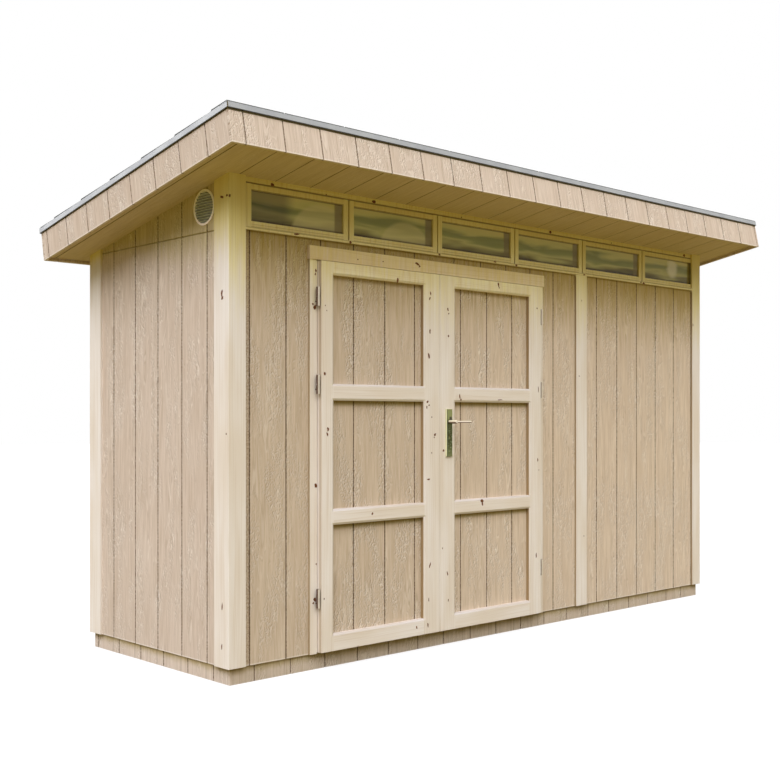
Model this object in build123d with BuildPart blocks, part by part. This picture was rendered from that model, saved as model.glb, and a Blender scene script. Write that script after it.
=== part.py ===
from build123d import *
import math
import os

# Timber garden shed with a single roof slope falling to the back. Millimetres.
# X runs along the long walls, the doors face -Y, and Z=0 is the ground.

# Walls
wall_length = 3750
wall_depth = 1215
wall_base = 75
trim_thickness = 12
siding_thickness = 12
groove_pitch = 203.2
groove_width = 7
groove_depth = 4

# Roof
roof_pitch = 11.09
slope_length = 1650
side_overhang = 202
front_overhang = 308.9
fascia_bottom_z = 2272
fascia_thickness = 12
soffit_low = 15
soffit_thickness = 10
rafter_depth = 127
rafter_width = 45
deck_thickness = 15
edge_metal_low = 143
edge_metal_high = 169
edge_metal_proud = 6
edge_metal_sheet = 2
edge_metal_flange = 50
deck_proud = 4
cover_base = 1.5
cover_step = 6
course_pitch = 277.5
course_count = 6
first_course = 115
fascia_first_groove = -130
side_fascia_first = 169.6
soffit_groove_shift = -14
soffit_groove_width = 4
soffit_groove_depth = 2

# Floor and skirt
skirt_inset = 20
skirt_thickness = 12
deck_board = 18
bearer_width = 45
skirt_gap = 2
skirt_joints = (1260, 3500)
skirt_groove_firsts = (152, 1352.4)
skirt_last_groove = 3551
side_skirt_first = 143.5

# Framing
stud = 45
plate_height = 38
frame_gap = 2
front_stud_places = (231, 2462.5, 2871, 3276)
side_stud_places = (392, 782)
back_stud_count = 10
rafter_count = 9
bearer_count = 4

# Windows
window_count = 6
window_first = 102
window_pitch = 602.5
sash_gap = 9
sash_bar = 28
sash_depth = 28
sash_bottom = 1929
sash_top = 2122
pane_thickness = 4
pane_setback = 8
pane_rebate = 8
pane_play = 0.5
sill_height = 14
head_strip_gap = 2
mullion_width = 75

# Doorway and leaves
door_left = 452
door_right = 2130
jamb_width = 41
door_head_bottom = 1820
door_head_top = 1882
head_proud = 6
head_ear = 5
stop_thickness = 12
stop_setback = 26
leaf_proud = 25
leaf_thickness = 45
leaf_bottom = 5.5
leaf_top = 1814.5
left_leaf_edge = 500
right_leaf_edge = 2082
left_leaf_meeting = 1277
right_leaf_meeting = 1285
left_hinge_stile = 76
right_hinge_stile = 96
plain_meeting_stile = 109
lock_stile = 110
top_rail_bottom = 1754
upper_rail = (1170, 1247)
lower_rail = (591, 664)
bottom_rail_top = 84
leaf_bevel = 10
bevel_depth = 5
panel_setback = 24
panel_thickness = 12
panel_tongue = 8
panel_play = 0.5
left_panel_grooves = (718, 921, 1124)
right_panel_grooves = (1458, 1661, 1864)

# Hinges and handle
hinge_heights = (257, 1243, 1648)
barrel_radius = 8
barrel_sides = 16
barrel_height = 43
barrel_gap = 2
barrel_from_leaf = 13.5
barrel_in_front = 17
pin_radius = 3.5
pin_clearance = 0.08
pin_short = 2
stem_radius = 3
stem_sides = 6
stem_into_jamb = 25
stem_into_leaf = 22
handle_x = 1344
lever_height = 1068
plate_width = 44
plate_height_handle = 243
plate_below_lever = 177
plate_thickness = 8
neck_radius = 9
neck_clearance = 0.08
spindle_radius = 4
spindle_bore_radius = 9.5
lever_reach = 111
lever_radius = 5
lever_stand_off = 50
neck_cap = 5
neck_bevel = 2
grip_bevel = 2
keyhole_drop = 68
keyhole_radius = 5
keyhole_slot = 4
keyhole_tail = 16
plate_bevel = 2.5

# Vents
vent_radius = 81
vent_y = 201
vent_height = 2027
vent_flange = 4
vent_hole_radius = 74
slat_count = 12
slat_pitch = 12
slat_width = 17
slat_thickness = 2.5
slat_tilt = 50
slat_into_tube = 2
vent_bore_sides = 24
vent_tube = 3

# Sheets and their grooves
left_sheet_first = 120
right_sheet_first = 1220.3
side_sheet_first = 180.7
side_joint_height = 1912
joint_gap = 3
joint_bevel = 4
gable_tail = 5

# Corner and cover posts
corner_front_leg = 92
corner_side_leg = 110
corner_round = 3
mid_post_width = 100
sheet_joints = (1265, 2485)
mid_post_front = (2434, 2534)

# Derived places
pitch_sin = math.sin(math.radians(roof_pitch))
pitch_cos = math.cos(math.radians(roof_pitch))
pitch_tan = math.tan(math.radians(roof_pitch))
rafter_low = soffit_low + soffit_thickness
deck_low = rafter_low + rafter_depth
cover_low = deck_low + deck_thickness
roof_plan_depth = (slope_length + edge_metal_proud) * pitch_cos + edge_metal_high * pitch_sin
roof_front_y = -roof_plan_depth / 2
front_y = roof_front_y + front_overhang
back_y = front_y + wall_depth
left_x = -wall_length / 2
right_x = wall_length / 2
siding_y = front_y + trim_thickness
frame_y = siding_y + siding_thickness
frame_in = trim_thickness + siding_thickness
frame_depth = frame_in + stud
soffit_front_end = 334
soffit_back_start = 1528
sheet_gap = 2
small_gap = 1

roof_plane = Plane(
    origin=(0, roof_front_y, fascia_bottom_z),
    x_dir=(1, 0, 0),
    z_dir=(0, pitch_sin, pitch_cos),
)
soffit_plane = roof_plane.offset(soffit_low)


def roof_z(y, offset):
    """Height at which a plane parallel to the roof passes over y."""
    return fascia_bottom_z - (y - roof_front_y) * pitch_tan + offset / pitch_cos


def wall_x(distance):
    """X of a distance measured from the left end of the front wall."""
    return left_x + distance


def wall_z(height):
    """Z of a height measured from the bottom of the walls."""
    return wall_base + height


front_plane = Plane(origin=(left_x, siding_y, wall_base), x_dir=(1, 0, 0), z_dir=(0, -1, 0))
back_plane = Plane(
    origin=(left_x, back_y - trim_thickness, wall_base), x_dir=(1, 0, 0), z_dir=(0, -1, 0)
)
left_plane = Plane(origin=(left_x + trim_thickness, 0, 0), x_dir=(0, 1, 0), z_dir=(1, 0, 0))


def groove_places(first, low, high):
    """Groove centres at the sheet's own pitch, between two edges."""
    count = math.ceil((high - first) / groove_pitch)
    places = [first + index * groove_pitch for index in range(count)]
    return [place for place in places if low + groove_width < place < high - groove_width]


def groove_sketch(plane, places, low, high):
    """Long narrow rectangles across a sheet's face, one for each groove."""
    with BuildSketch(plane) as grooves:
        with Locations(*[(place, (low + high) / 2) for place in places]):
            Rectangle(groove_width, high - low)
    return grooves.sketch


def save(builder, name):
    builder.part.label = name
    export_step(builder.part, "parts/" + name + ".step")


os.makedirs("parts", exist_ok=True)


# Floor and skirt
bearer_length = wall_length - 2 * (skirt_inset + skirt_thickness + skirt_gap)
bearer_height = wall_base - deck_board
bearer_run = wall_depth - 2 * (skirt_inset + skirt_thickness + skirt_gap) - bearer_width
middle_y = (front_y + back_y) / 2
with BuildPart() as floor_bearers:
    with Locations((0, middle_y, bearer_height / 2)):
        with GridLocations(1, bearer_run / (bearer_count - 1), 1, bearer_count):
            Box(bearer_length, bearer_width, bearer_height)
save(floor_bearers, "floor_bearers")

with BuildPart() as floor_deck:
    with BuildSketch(Plane.XY.offset(bearer_height)):
        with Locations((0, middle_y)):
            Rectangle(
                wall_length - 2 * (skirt_inset + skirt_thickness),
                wall_depth - 2 * (skirt_inset + skirt_thickness),
            )
    extrude(amount=deck_board)
save(floor_deck, "floor_deck")

skirt_front_plane = Plane(
    origin=(left_x, front_y + skirt_inset, 0), x_dir=(1, 0, 0), z_dir=(0, -1, 0)
)
skirt_back_plane = Plane(
    origin=(left_x, back_y - skirt_inset, 0), x_dir=(1, 0, 0), z_dir=(0, -1, 0)
)
skirt_side_plane = Plane(
    origin=(left_x + skirt_inset, front_y, 0), x_dir=(0, 1, 0), z_dir=(1, 0, 0)
)
skirt_edges = (skirt_inset,) + skirt_joints
skirt_grooves = [skirt_last_groove]
for first, low, high in zip(skirt_groove_firsts, skirt_edges[:-1], skirt_edges[1:]):
    skirt_grooves += groove_places(first, low, high)
skirt_length = wall_length - 2 * skirt_inset
skirt_side_edge = skirt_inset + skirt_thickness
skirt_side_length = wall_depth - 2 * (skirt_side_edge + small_gap)
side_skirt_grooves = groove_places(side_skirt_first, skirt_side_edge, wall_depth - skirt_side_edge)
with BuildPart() as skirt:
    for plane, inward in ((skirt_front_plane, -1), (skirt_back_plane, 1)):
        with BuildSketch(plane):
            with Locations((wall_length / 2, wall_base / 2)):
                Rectangle(skirt_length, wall_base)
        extrude(amount=inward * skirt_thickness)
        extrude(
            groove_sketch(plane, skirt_grooves, 0, wall_base),
            amount=inward * groove_depth,
            mode=Mode.SUBTRACT,
        )
    for x_step in (0, skirt_length - skirt_thickness):
        with BuildSketch(skirt_side_plane.offset(x_step)):
            with Locations((wall_depth / 2, wall_base / 2)):
                Rectangle(skirt_side_length, wall_base)
        extrude(amount=skirt_thickness)
    for x_step, inward in ((0, 1), (skirt_length, -1)):
        extrude(
            groove_sketch(skirt_side_plane.offset(x_step), side_skirt_grooves, 0, wall_base),
            amount=inward * groove_depth,
            mode=Mode.SUBTRACT,
        )
save(skirt, "skirt")


# Grooved wall sheets
sill_bottom = sash_bottom - sill_height
left_sheet_grooves = groove_places(left_sheet_first, 0, sheet_joints[0])
right_sheet_grooves = groove_places(right_sheet_first, sheet_joints[0], wall_length)
front_grooves = left_sheet_grooves + right_sheet_grooves


def front_sheet(name, start, end, low, high):
    """One grooved sheet of the front wall, from start to end along the wall."""
    places = [place for place in front_grooves if start + groove_width < place < end - groove_width]
    with BuildPart() as sheet:
        with BuildSketch(front_plane):
            with Locations(((start + end) / 2, (low + high) / 2)):
                Rectangle(end - start, high - low)
        extrude(amount=-siding_thickness)
        extrude(
            groove_sketch(front_plane, places, low, high),
            amount=-groove_depth,
            mode=Mode.SUBTRACT,
        )
    save(sheet, name)


front_sheet("front_panel_left", trim_thickness, door_left, 0, sill_bottom)
front_sheet("front_panel_over_door", door_left, door_right, door_head_top, sill_bottom)
front_sheet("front_panel_right", door_right, sheet_joints[1] - sheet_gap / 2, 0, sill_bottom)
front_sheet(
    "front_panel_end", sheet_joints[1] + sheet_gap / 2, wall_length - trim_thickness, 0, sill_bottom
)

back_top = roof_z(back_y - trim_thickness, soffit_low) - wall_base
back_edges = (trim_thickness,) + sheet_joints + (wall_length - trim_thickness,)
with BuildPart() as back_panels:
    for start, end in zip(back_edges[:-1], back_edges[1:]):
        with BuildSketch(back_plane):
            with Locations(((start + end) / 2, back_top / 2)):
                Rectangle(end - start - sheet_gap, back_top)
        extrude(amount=siding_thickness)
    extrude(
        groove_sketch(back_plane, front_grooves, 0, back_top),
        amount=groove_depth,
        mode=Mode.SUBTRACT,
    )
save(back_panels, "back_panels")

# The side walls have a lower sheet and a tapering infill above the joint line
joint_height = wall_z(side_joint_height)
gable_low = joint_height + joint_gap
side_front = frame_y
side_back = back_y - frame_in
gable_top = roof_z(side_front, soffit_low)
gable_end = side_front + (gable_top - gable_low - gable_tail) / pitch_tan
sheet_step = gable_end + small_gap
side_grooves = [front_y + place for place in groove_places(side_sheet_first, frame_in, wall_depth)]
with BuildPart() as left_panel:
    with BuildSketch(left_plane):
        with BuildLine():
            Polyline(
                (side_front, wall_base),
                (side_back, wall_base),
                (side_back, roof_z(side_back, soffit_low)),
                (sheet_step, roof_z(sheet_step, soffit_low)),
                (sheet_step, joint_height),
                (side_front, joint_height),
                close=True,
            )
        make_face()
    extrude(amount=siding_thickness)
    extrude(
        groove_sketch(left_plane, side_grooves, wall_base, joint_height + wall_base),
        amount=groove_depth,
        mode=Mode.SUBTRACT,
    )
save(left_panel, "left_panel")

with BuildPart() as left_gable_panel:
    with BuildSketch(left_plane):
        with BuildLine():
            Polyline(
                (side_front, gable_low),
                (gable_end, gable_low),
                (gable_end, gable_low + gable_tail),
                (side_front, gable_top),
                close=True,
            )
        make_face()
        with Locations((front_y + vent_y, wall_z(vent_height))):
            Circle(vent_hole_radius, mode=Mode.SUBTRACT)
    extrude(amount=siding_thickness)
    extrude(
        groove_sketch(left_plane, side_grooves, gable_low, gable_top),
        amount=groove_depth,
        mode=Mode.SUBTRACT,
    )
    joint_edges = left_gable_panel.edges().filter_by(Axis.Y).group_by(Axis.Z)[0]
    chamfer(joint_edges.group_by(Axis.X)[0], joint_bevel)
save(left_gable_panel, "left_gable_panel")

with BuildPart() as right_panel:
    mirror(left_panel.part, about=Plane.YZ)
save(right_panel, "right_panel")

with BuildPart() as right_gable_panel:
    mirror(left_gable_panel.part, about=Plane.YZ)
save(right_gable_panel, "right_gable_panel")


# Corner posts are angles that wrap the ends of the sheets
post_blank = wall_base + 2 * wall_depth


def corner_profile(side_y, inward):
    """Plan of the left-hand angle whose outer corner is at side_y."""
    with BuildSketch(Plane.XY.offset(wall_base)) as plan:
        with BuildLine():
            Polyline(
                (left_x, side_y),
                (left_x + corner_front_leg, side_y),
                (left_x + corner_front_leg, side_y + inward * trim_thickness),
                (left_x + trim_thickness, side_y + inward * trim_thickness),
                (left_x + trim_thickness, side_y + inward * corner_side_leg),
                (left_x, side_y + inward * corner_side_leg),
                close=True,
            )
        make_face()
        outer = plan.vertices().sort_by_distance((left_x, side_y, wall_base))[0]
        fillet(outer, corner_round)
    return plan.sketch


with BuildPart() as corner_posts:
    extrude(corner_profile(front_y, 1), amount=post_blank)
    extrude(corner_profile(back_y, -1), amount=post_blank)
    split(bisect_by=soffit_plane, keep=Keep.BOTTOM)
    mirror(about=Plane.YZ)
save(corner_posts, "corner_posts")

with BuildPart() as mid_posts:
    with BuildSketch(front_plane):
        with Locations((sum(mid_post_front) / 2, sill_bottom / 2)):
            Rectangle(mid_post_width, sill_bottom)
    extrude(amount=trim_thickness)
    back_post_top = roof_z(back_y, soffit_low) - wall_base
    with BuildSketch(back_plane):
        with Locations(*[(joint, back_post_top / 2) for joint in sheet_joints]):
            Rectangle(mid_post_width, back_post_top)
    extrude(amount=-trim_thickness)
save(mid_posts, "mid_posts")


# Wall framing
plate_low = wall_base
plate_top = wall_base + plate_height
sill_plate_low = wall_z(sash_bottom) - plate_height
back_frame_y = back_y - frame_depth
side_frame_start = front_y + frame_depth + frame_gap
side_frame_end = back_frame_y - frame_gap
frame_left = left_x + frame_in
frame_right = right_x - frame_in


def timber(start, end):
    """A squared timber between two opposite corners."""
    with Locations(tuple((a + b) / 2 for a, b in zip(start, end))):
        Box(*[abs(b - a) for a, b in zip(start, end)])


def raked(x_low, x_high, y_low, y_high, bottoms, rise):
    """A timber whose top follows the roof; bottoms gives its two lower heights."""
    with BuildSketch(Plane(origin=(x_low, 0, 0), x_dir=(0, 1, 0), z_dir=(1, 0, 0))) as side:
        with BuildLine():
            Polyline(
                (y_low, bottoms[0]),
                (y_high, bottoms[1]),
                (y_high, roof_z(y_high, rise)),
                (y_low, roof_z(y_low, rise)),
                close=True,
            )
        make_face()
    extrude(side.sketch, amount=x_high - x_low)


back_plate_low = roof_z(back_frame_y + stud, rafter_low) - plate_height
side_plate_lows = [
    roof_z(place, rafter_low) - plate_height for place in (side_frame_start, side_frame_end)
]
with BuildPart() as wall_plates:
    timber((frame_left, frame_y, plate_low), (wall_x(door_left), frame_y + stud, plate_top))
    timber((wall_x(door_right), frame_y, plate_low), (frame_right, frame_y + stud, plate_top))
    timber(
        (frame_left, back_frame_y, plate_low), (frame_right, back_frame_y + stud, plate_top)
    )
    timber(
        (frame_left, frame_y, sill_plate_low),
        (frame_right, frame_y + stud, wall_z(sash_bottom)),
    )
    raked(frame_left, frame_right, frame_y, frame_y + stud, [wall_z(sash_top)] * 2, rafter_low)
    raked(
        frame_left, frame_right, back_frame_y, back_frame_y + stud, [back_plate_low] * 2, rafter_low
    )
    for plate_x in (frame_left, frame_right - stud):
        timber(
            (plate_x, side_frame_start, plate_low), (plate_x + stud, side_frame_end, plate_top)
        )
        raked(
            plate_x, plate_x + stud, side_frame_start, side_frame_end, side_plate_lows, rafter_low
        )
save(wall_plates, "wall_plates")

last_stud = wall_length - frame_in - stud
front_studs = (frame_in, door_left - stud, door_right, last_stud) + front_stud_places
side_studs = [front_y + place for place in side_stud_places]
back_stud_step = (last_stud - frame_in) / (back_stud_count - 1)
back_studs = [frame_in + index * back_stud_step for index in range(back_stud_count)]
jack_height = wall_z(sash_bottom)
window_last = window_first + window_count * window_pitch - sash_gap
with BuildPart() as wall_studs:
    for place in front_studs:
        timber(
            (wall_x(place), frame_y, plate_top),
            (wall_x(place) + stud, frame_y + stud, sill_plate_low),
        )
    for place in back_studs:
        timber(
            (wall_x(place), back_frame_y, plate_top),
            (wall_x(place) + stud, back_frame_y + stud, back_plate_low),
        )
    for plate_x in (frame_left, frame_right - stud):
        for place in side_studs:
            timber(
                (plate_x, place, plate_top),
                (plate_x + stud, place + stud, roof_z(place + stud, rafter_low) - plate_height),
            )
    timber(
        (frame_left, frame_y, jack_height), (wall_x(window_first), frame_y + stud, wall_z(sash_top))
    )
    timber(
        (wall_x(window_last) + small_gap, frame_y, jack_height),
        (frame_right, frame_y + stud, wall_z(sash_top)),
    )
    for index in range(1, window_count):
        middle = wall_x(window_first + index * window_pitch - sash_gap / 2)
        timber(
            (middle - mullion_width / 2, siding_y + sash_depth, jack_height),
            (middle + mullion_width / 2, frame_y + stud, wall_z(sash_top)),
        )
save(wall_studs, "wall_studs")


# Windows sit in one band under the eaves
sash_width = window_pitch - sash_gap
sash_height = sash_top - sash_bottom
sash_middle = (sash_top + sash_bottom) / 2
sash_centres = [
    (window_first + index * window_pitch + sash_width / 2, sash_middle)
    for index in range(window_count)
]
pane_width = sash_width - 2 * sash_bar + 2 * pane_rebate
pane_height = sash_height - 2 * sash_bar + 2 * pane_rebate
with BuildPart() as window_panes:
    with BuildSketch(front_plane.offset(-pane_setback)):
        with Locations(*sash_centres):
            Rectangle(pane_width, pane_height)
    extrude(amount=-pane_thickness)
save(window_panes, "window_panes")

with BuildSketch(front_plane.offset(-pane_setback)) as pane_slots:
    with Locations(*sash_centres):
        Rectangle(pane_width + 2 * pane_play, pane_height + 2 * pane_play)

with BuildPart() as window_stiles:
    for side in (-1, 1):
        with BuildSketch(front_plane):
            with Locations(*[(x + side * (sash_width - sash_bar) / 2, z) for x, z in sash_centres]):
                Rectangle(sash_bar, sash_height)
        extrude(amount=-sash_depth)
    extrude(pane_slots.sketch, amount=-pane_thickness, mode=Mode.SUBTRACT)
save(window_stiles, "window_stiles")

with BuildPart() as window_rails:
    for side in (-1, 1):
        with BuildSketch(front_plane):
            with Locations(*[(x, z + side * (sash_height - sash_bar) / 2) for x, z in sash_centres]):
                Rectangle(sash_width - 2 * sash_bar, sash_bar)
        extrude(amount=-sash_depth)
    extrude(pane_slots.sketch, amount=-pane_thickness, mode=Mode.SUBTRACT)
save(window_rails, "window_rails")

trim_start = wall_x(corner_front_leg)
trim_end = wall_x(wall_length - corner_front_leg)
with BuildPart() as window_trims:
    timber((trim_start, front_y, wall_z(sill_bottom)), (trim_end, frame_y, wall_z(sash_bottom)))
    raked(
        trim_start,
        trim_end,
        siding_y,
        frame_y,
        [wall_z(sash_top + head_strip_gap)] * 2,
        soffit_low,
    )
save(window_trims, "window_trims")


# Doorway
left_barrel_x = left_leaf_edge - barrel_from_leaf
right_barrel_x = right_leaf_edge + barrel_from_leaf
barrel_y = front_y - barrel_in_front
lower_stem = -(barrel_height + barrel_gap) / 2
upper_stem = (barrel_height + barrel_gap) / 2
jamb_stem_points = [
    (x, height + lower_stem) for x in (left_barrel_x, right_barrel_x) for height in hinge_heights
]
post_face = Plane(origin=(left_x, front_y, wall_base), x_dir=(1, 0, 0), z_dir=(0, -1, 0))
with BuildPart() as door_jambs:
    with BuildSketch(post_face):
        for place in (door_left + jamb_width / 2, door_right - jamb_width / 2):
            with Locations((place, door_head_bottom / 2)):
                Rectangle(jamb_width, door_head_bottom)
    extrude(amount=-frame_depth)
    with BuildSketch(post_face):
        with Locations(*jamb_stem_points):
            RegularPolygon(stem_radius, stem_sides)
    extrude(amount=-stem_into_jamb, mode=Mode.SUBTRACT)
save(door_jambs, "door_jambs")

head_height = door_head_top - door_head_bottom
head_centre = ((door_left + door_right) / 2, (door_head_top + door_head_bottom) / 2)
with BuildPart() as door_head:
    with BuildSketch(post_face.offset(head_proud)):
        with Locations(head_centre):
            Rectangle(door_right - door_left, head_height)
    extrude(amount=-(head_proud + frame_depth))
    with BuildSketch(post_face.offset(head_proud)):
        with Locations(head_centre):
            Rectangle(door_right - door_left + 2 * head_ear, head_height)
    extrude(amount=-(head_proud + trim_thickness))
save(door_head, "door_head")

inner_left = door_left + jamb_width
inner_right = door_right - jamb_width
stop_depth = frame_depth - stop_setback
with BuildPart() as door_stops:
    with BuildSketch(post_face.offset(-stop_setback)):
        for place in (inner_left + stop_thickness / 2, inner_right - stop_thickness / 2):
            with Locations((place, door_head_bottom / 2)):
                Rectangle(stop_thickness, door_head_bottom)
        with Locations(((inner_left + inner_right) / 2, door_head_bottom - stop_thickness / 2)):
            Rectangle(
                inner_right - inner_left - 2 * (stop_thickness + small_gap), stop_thickness
            )
    extrude(amount=-stop_depth)
save(door_stops, "door_stops")


# Door leaves: framed, with bevelled openings and grooved panels held in slots
leaf_face = post_face.offset(leaf_proud)
rail_bands = (
    (leaf_bottom, bottom_rail_top),
    lower_rail,
    upper_rail,
    (top_rail_bottom, leaf_top),
)
opening_bands = [
    (lower[1], upper[0]) for lower, upper in zip(rail_bands[:-1], rail_bands[1:])
]


def centred(start, end, low, high):
    """Centre and size of a rectangle on the leaf face."""
    return ((start + end) / 2, (low + high) / 2), (end - start, high - low)


def bevel_tool(start, end):
    """Tapered blocks that bevel the front edges of a leaf's openings."""
    with BuildPart() as tool:
        for low, high in opening_bands:
            centre, size = centred(start, end, low, high)
            with BuildSketch(leaf_face):
                with Locations(centre):
                    Rectangle(size[0] + 2 * leaf_bevel, size[1] + 2 * leaf_bevel)
            with BuildSketch(leaf_face.offset(-bevel_depth)):
                with Locations(centre):
                    Rectangle(*size)
            loft(ruled=True)
    return tool.part


def slot_tool(start, end):
    """Blocks that cut the slots which hold the panels."""
    reach = panel_tongue + panel_play
    with BuildSketch(leaf_face.offset(-panel_setback)) as slots:
        for low, high in opening_bands:
            centre, size = centred(start, end, low, high)
            with Locations(centre):
                Rectangle(size[0] + 2 * reach, size[1] + 2 * reach)
    return slots.sketch


def leaf_pieces(side, left_edge, right_edge, left_stile, right_stile, grooves, hinge_edge):
    """Stiles, rails and panels of one leaf, saved as three pieces."""
    start = left_edge + left_stile
    end = right_edge - right_stile
    bevels = bevel_tool(start, end)
    slots = slot_tool(start, end)
    stem_plane = Plane(
        origin=(wall_x(hinge_edge), 0, wall_base),
        x_dir=(0, 1, 0),
        z_dir=(1, 0, 0),
    )
    stem_run = stem_into_leaf if hinge_edge == left_edge else -stem_into_leaf
    with BuildPart() as stiles:
        for low_x, high_x in ((left_edge, start), (end, right_edge)):
            centre, size = centred(low_x, high_x, leaf_bottom, leaf_top)
            with BuildSketch(leaf_face):
                with Locations(centre):
                    Rectangle(*size)
            extrude(amount=-leaf_thickness)
        add(bevels, mode=Mode.SUBTRACT)
        extrude(slots, amount=-panel_thickness, mode=Mode.SUBTRACT)
        with BuildSketch(stem_plane):
            with Locations(*[(barrel_y, height + upper_stem) for height in hinge_heights]):
                RegularPolygon(stem_radius, stem_sides)
        extrude(amount=stem_run, mode=Mode.SUBTRACT)
        if side == "right":
            with BuildSketch(leaf_face):
                with Locations((handle_x, lever_height)):
                    Circle(spindle_bore_radius)
                with Locations((handle_x, lever_height - keyhole_drop)):
                    Circle(keyhole_radius)
            extrude(amount=-leaf_thickness, mode=Mode.SUBTRACT)
    save(stiles, side + "_leaf_stiles")

    with BuildPart() as rails:
        with BuildSketch(leaf_face):
            for low, high in rail_bands:
                centre, size = centred(start, end, low, high)
                with Locations(centre):
                    Rectangle(*size)
        extrude(amount=-leaf_thickness)
        add(bevels, mode=Mode.SUBTRACT)
        extrude(slots, amount=-panel_thickness, mode=Mode.SUBTRACT)
    save(rails, side + "_leaf_rails")

    with BuildPart() as panels:
        with BuildSketch(leaf_face.offset(-panel_setback)):
            for low, high in opening_bands:
                centre, size = centred(start, end, low, high)
                with Locations(centre):
                    Rectangle(size[0] + 2 * panel_tongue, size[1] + 2 * panel_tongue)
        extrude(amount=-panel_thickness)
        extrude(
            groove_sketch(leaf_face.offset(-panel_setback), grooves, leaf_bottom, leaf_top),
            amount=-groove_depth,
            mode=Mode.SUBTRACT,
        )
    save(panels, side + "_leaf_panels")


leaf_pieces(
    "left",
    left_leaf_edge,
    left_leaf_meeting,
    left_hinge_stile,
    plain_meeting_stile,
    left_panel_grooves,
    left_leaf_edge,
)
leaf_pieces(
    "right",
    right_leaf_meeting,
    right_leaf_edge,
    lock_stile,
    right_hinge_stile,
    right_panel_grooves,
    right_leaf_edge,
)


# Hinges: a lower half with the pin screwed into the jamb, an upper half on the leaf
def barrel(x, low, high):
    """A many-sided barrel on a hinge axis, between two heights above the walls' base."""
    with BuildSketch(Plane.XY.offset(wall_z(low))) as section:
        with Locations((wall_x(x), barrel_y)):
            RegularPolygon(barrel_radius, barrel_sides)
    extrude(section.sketch, amount=high - low)


def pin(x, low, high, radius, mode=Mode.ADD):
    """A round pin, or with Mode.SUBTRACT its bore, on a hinge axis."""
    with Locations((wall_x(x), barrel_y, wall_z((low + high) / 2))):
        Cylinder(radius, high - low, mode=mode)


half_gap = barrel_gap / 2
with BuildPart() as frame_hinges:
    for x, height in [(x, h) for x in (left_barrel_x, right_barrel_x) for h in hinge_heights]:
        low = height - half_gap - barrel_height
        barrel(x, low, height - half_gap)
        pin(x, low, height + half_gap + barrel_height - pin_short, pin_radius)
    with BuildSketch(post_face.offset(barrel_in_front)):
        with Locations(*jamb_stem_points):
            RegularPolygon(stem_radius, stem_sides)
    extrude(amount=-(barrel_in_front + stem_into_jamb))
save(frame_hinges, "frame_hinges")


def leaf_hinges(side, x, leaf_edge):
    """Three bored upper halves with stems that reach into the leaf's edge."""
    stem_plane = Plane(origin=(wall_x(x), 0, wall_base), x_dir=(0, 1, 0), z_dir=(1, 0, 0))
    reach = leaf_edge - x
    stem_length = reach + math.copysign(stem_into_leaf, reach)
    with BuildPart() as hinges:
        for height in hinge_heights:
            barrel(x, height + half_gap, height + half_gap + barrel_height)
        with BuildSketch(stem_plane):
            with Locations(*[(barrel_y, height + upper_stem) for height in hinge_heights]):
                RegularPolygon(stem_radius, stem_sides)
        extrude(amount=stem_length)
        for height in hinge_heights:
            low = height + half_gap
            pin(x, low, low + barrel_height, pin_radius + pin_clearance, Mode.SUBTRACT)
    save(hinges, side + "_leaf_hinges")


leaf_hinges("left", left_barrel_x, left_leaf_edge)
leaf_hinges("right", right_barrel_x, right_leaf_edge)


# Lever handle on long plates, one each side of the lock stile
plate_centre = (handle_x, lever_height - plate_below_lever + plate_height_handle / 2)
with BuildPart() as handle_plates:
    for plane in (leaf_face.offset(plate_thickness), leaf_face.offset(-leaf_thickness)):
        with BuildSketch(plane):
            with Locations(plate_centre):
                Rectangle(plate_width, plate_height_handle)
            with Locations((handle_x, lever_height)):
                Circle(neck_radius + neck_clearance, mode=Mode.SUBTRACT)
            with Locations((handle_x, lever_height - keyhole_drop)):
                Circle(keyhole_radius, mode=Mode.SUBTRACT)
            with Locations((handle_x, lever_height - keyhole_drop - keyhole_tail / 2)):
                Rectangle(keyhole_slot, keyhole_tail, mode=Mode.SUBTRACT)
        extrude(amount=-plate_thickness)
    for end in (0, -1):
        face = handle_plates.faces().group_by(Axis.Y)[end].sort_by(SortBy.AREA)[-1]
        chamfer(face.outer_wire().edges(), plate_bevel)
save(handle_plates, "handle_plates")

outer_bar_y = front_y - leaf_proud - lever_stand_off
inner_bar_y = front_y - leaf_proud + leaf_thickness + lever_stand_off
spindle_centre = (handle_x, lever_height)
with BuildPart() as door_lever:
    for plane, outward in ((leaf_face, 1), (leaf_face.offset(-leaf_thickness), -1)):
        with BuildSketch(plane):
            with Locations(spindle_centre):
                Circle(neck_radius)
        extrude(amount=outward * (lever_stand_off + lever_radius + neck_cap))
    with BuildSketch(leaf_face.offset(lever_radius)):
        with Locations(spindle_centre):
            Circle(spindle_radius)
    extrude(amount=-(leaf_thickness + 2 * lever_radius))
    for bar_y in (outer_bar_y, inner_bar_y):
        bar_start = Plane(
            origin=(wall_x(handle_x), bar_y, wall_z(lever_height)), x_dir=(0, 1, 0), z_dir=(1, 0, 0)
        )
        with BuildSketch(bar_start):
            Circle(lever_radius)
        extrude(amount=lever_reach + lever_radius)
    chamfer(door_lever.edges().group_by(Axis.X)[-1], grip_bevel)
    for end in (0, -1):
        chamfer(door_lever.edges().group_by(Axis.Y)[end], neck_bevel)
save(door_lever, "door_lever")


# Roof
slope_dir = (0, pitch_cos, -pitch_sin)
deck_half = wall_length / 2 + side_overhang + deck_proud
fascia_half = wall_length / 2 + side_overhang
metal_half = wall_length / 2 + side_overhang + edge_metal_proud
deck_end = slope_length + deck_proud
metal_end = slope_length + edge_metal_proud


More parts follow.
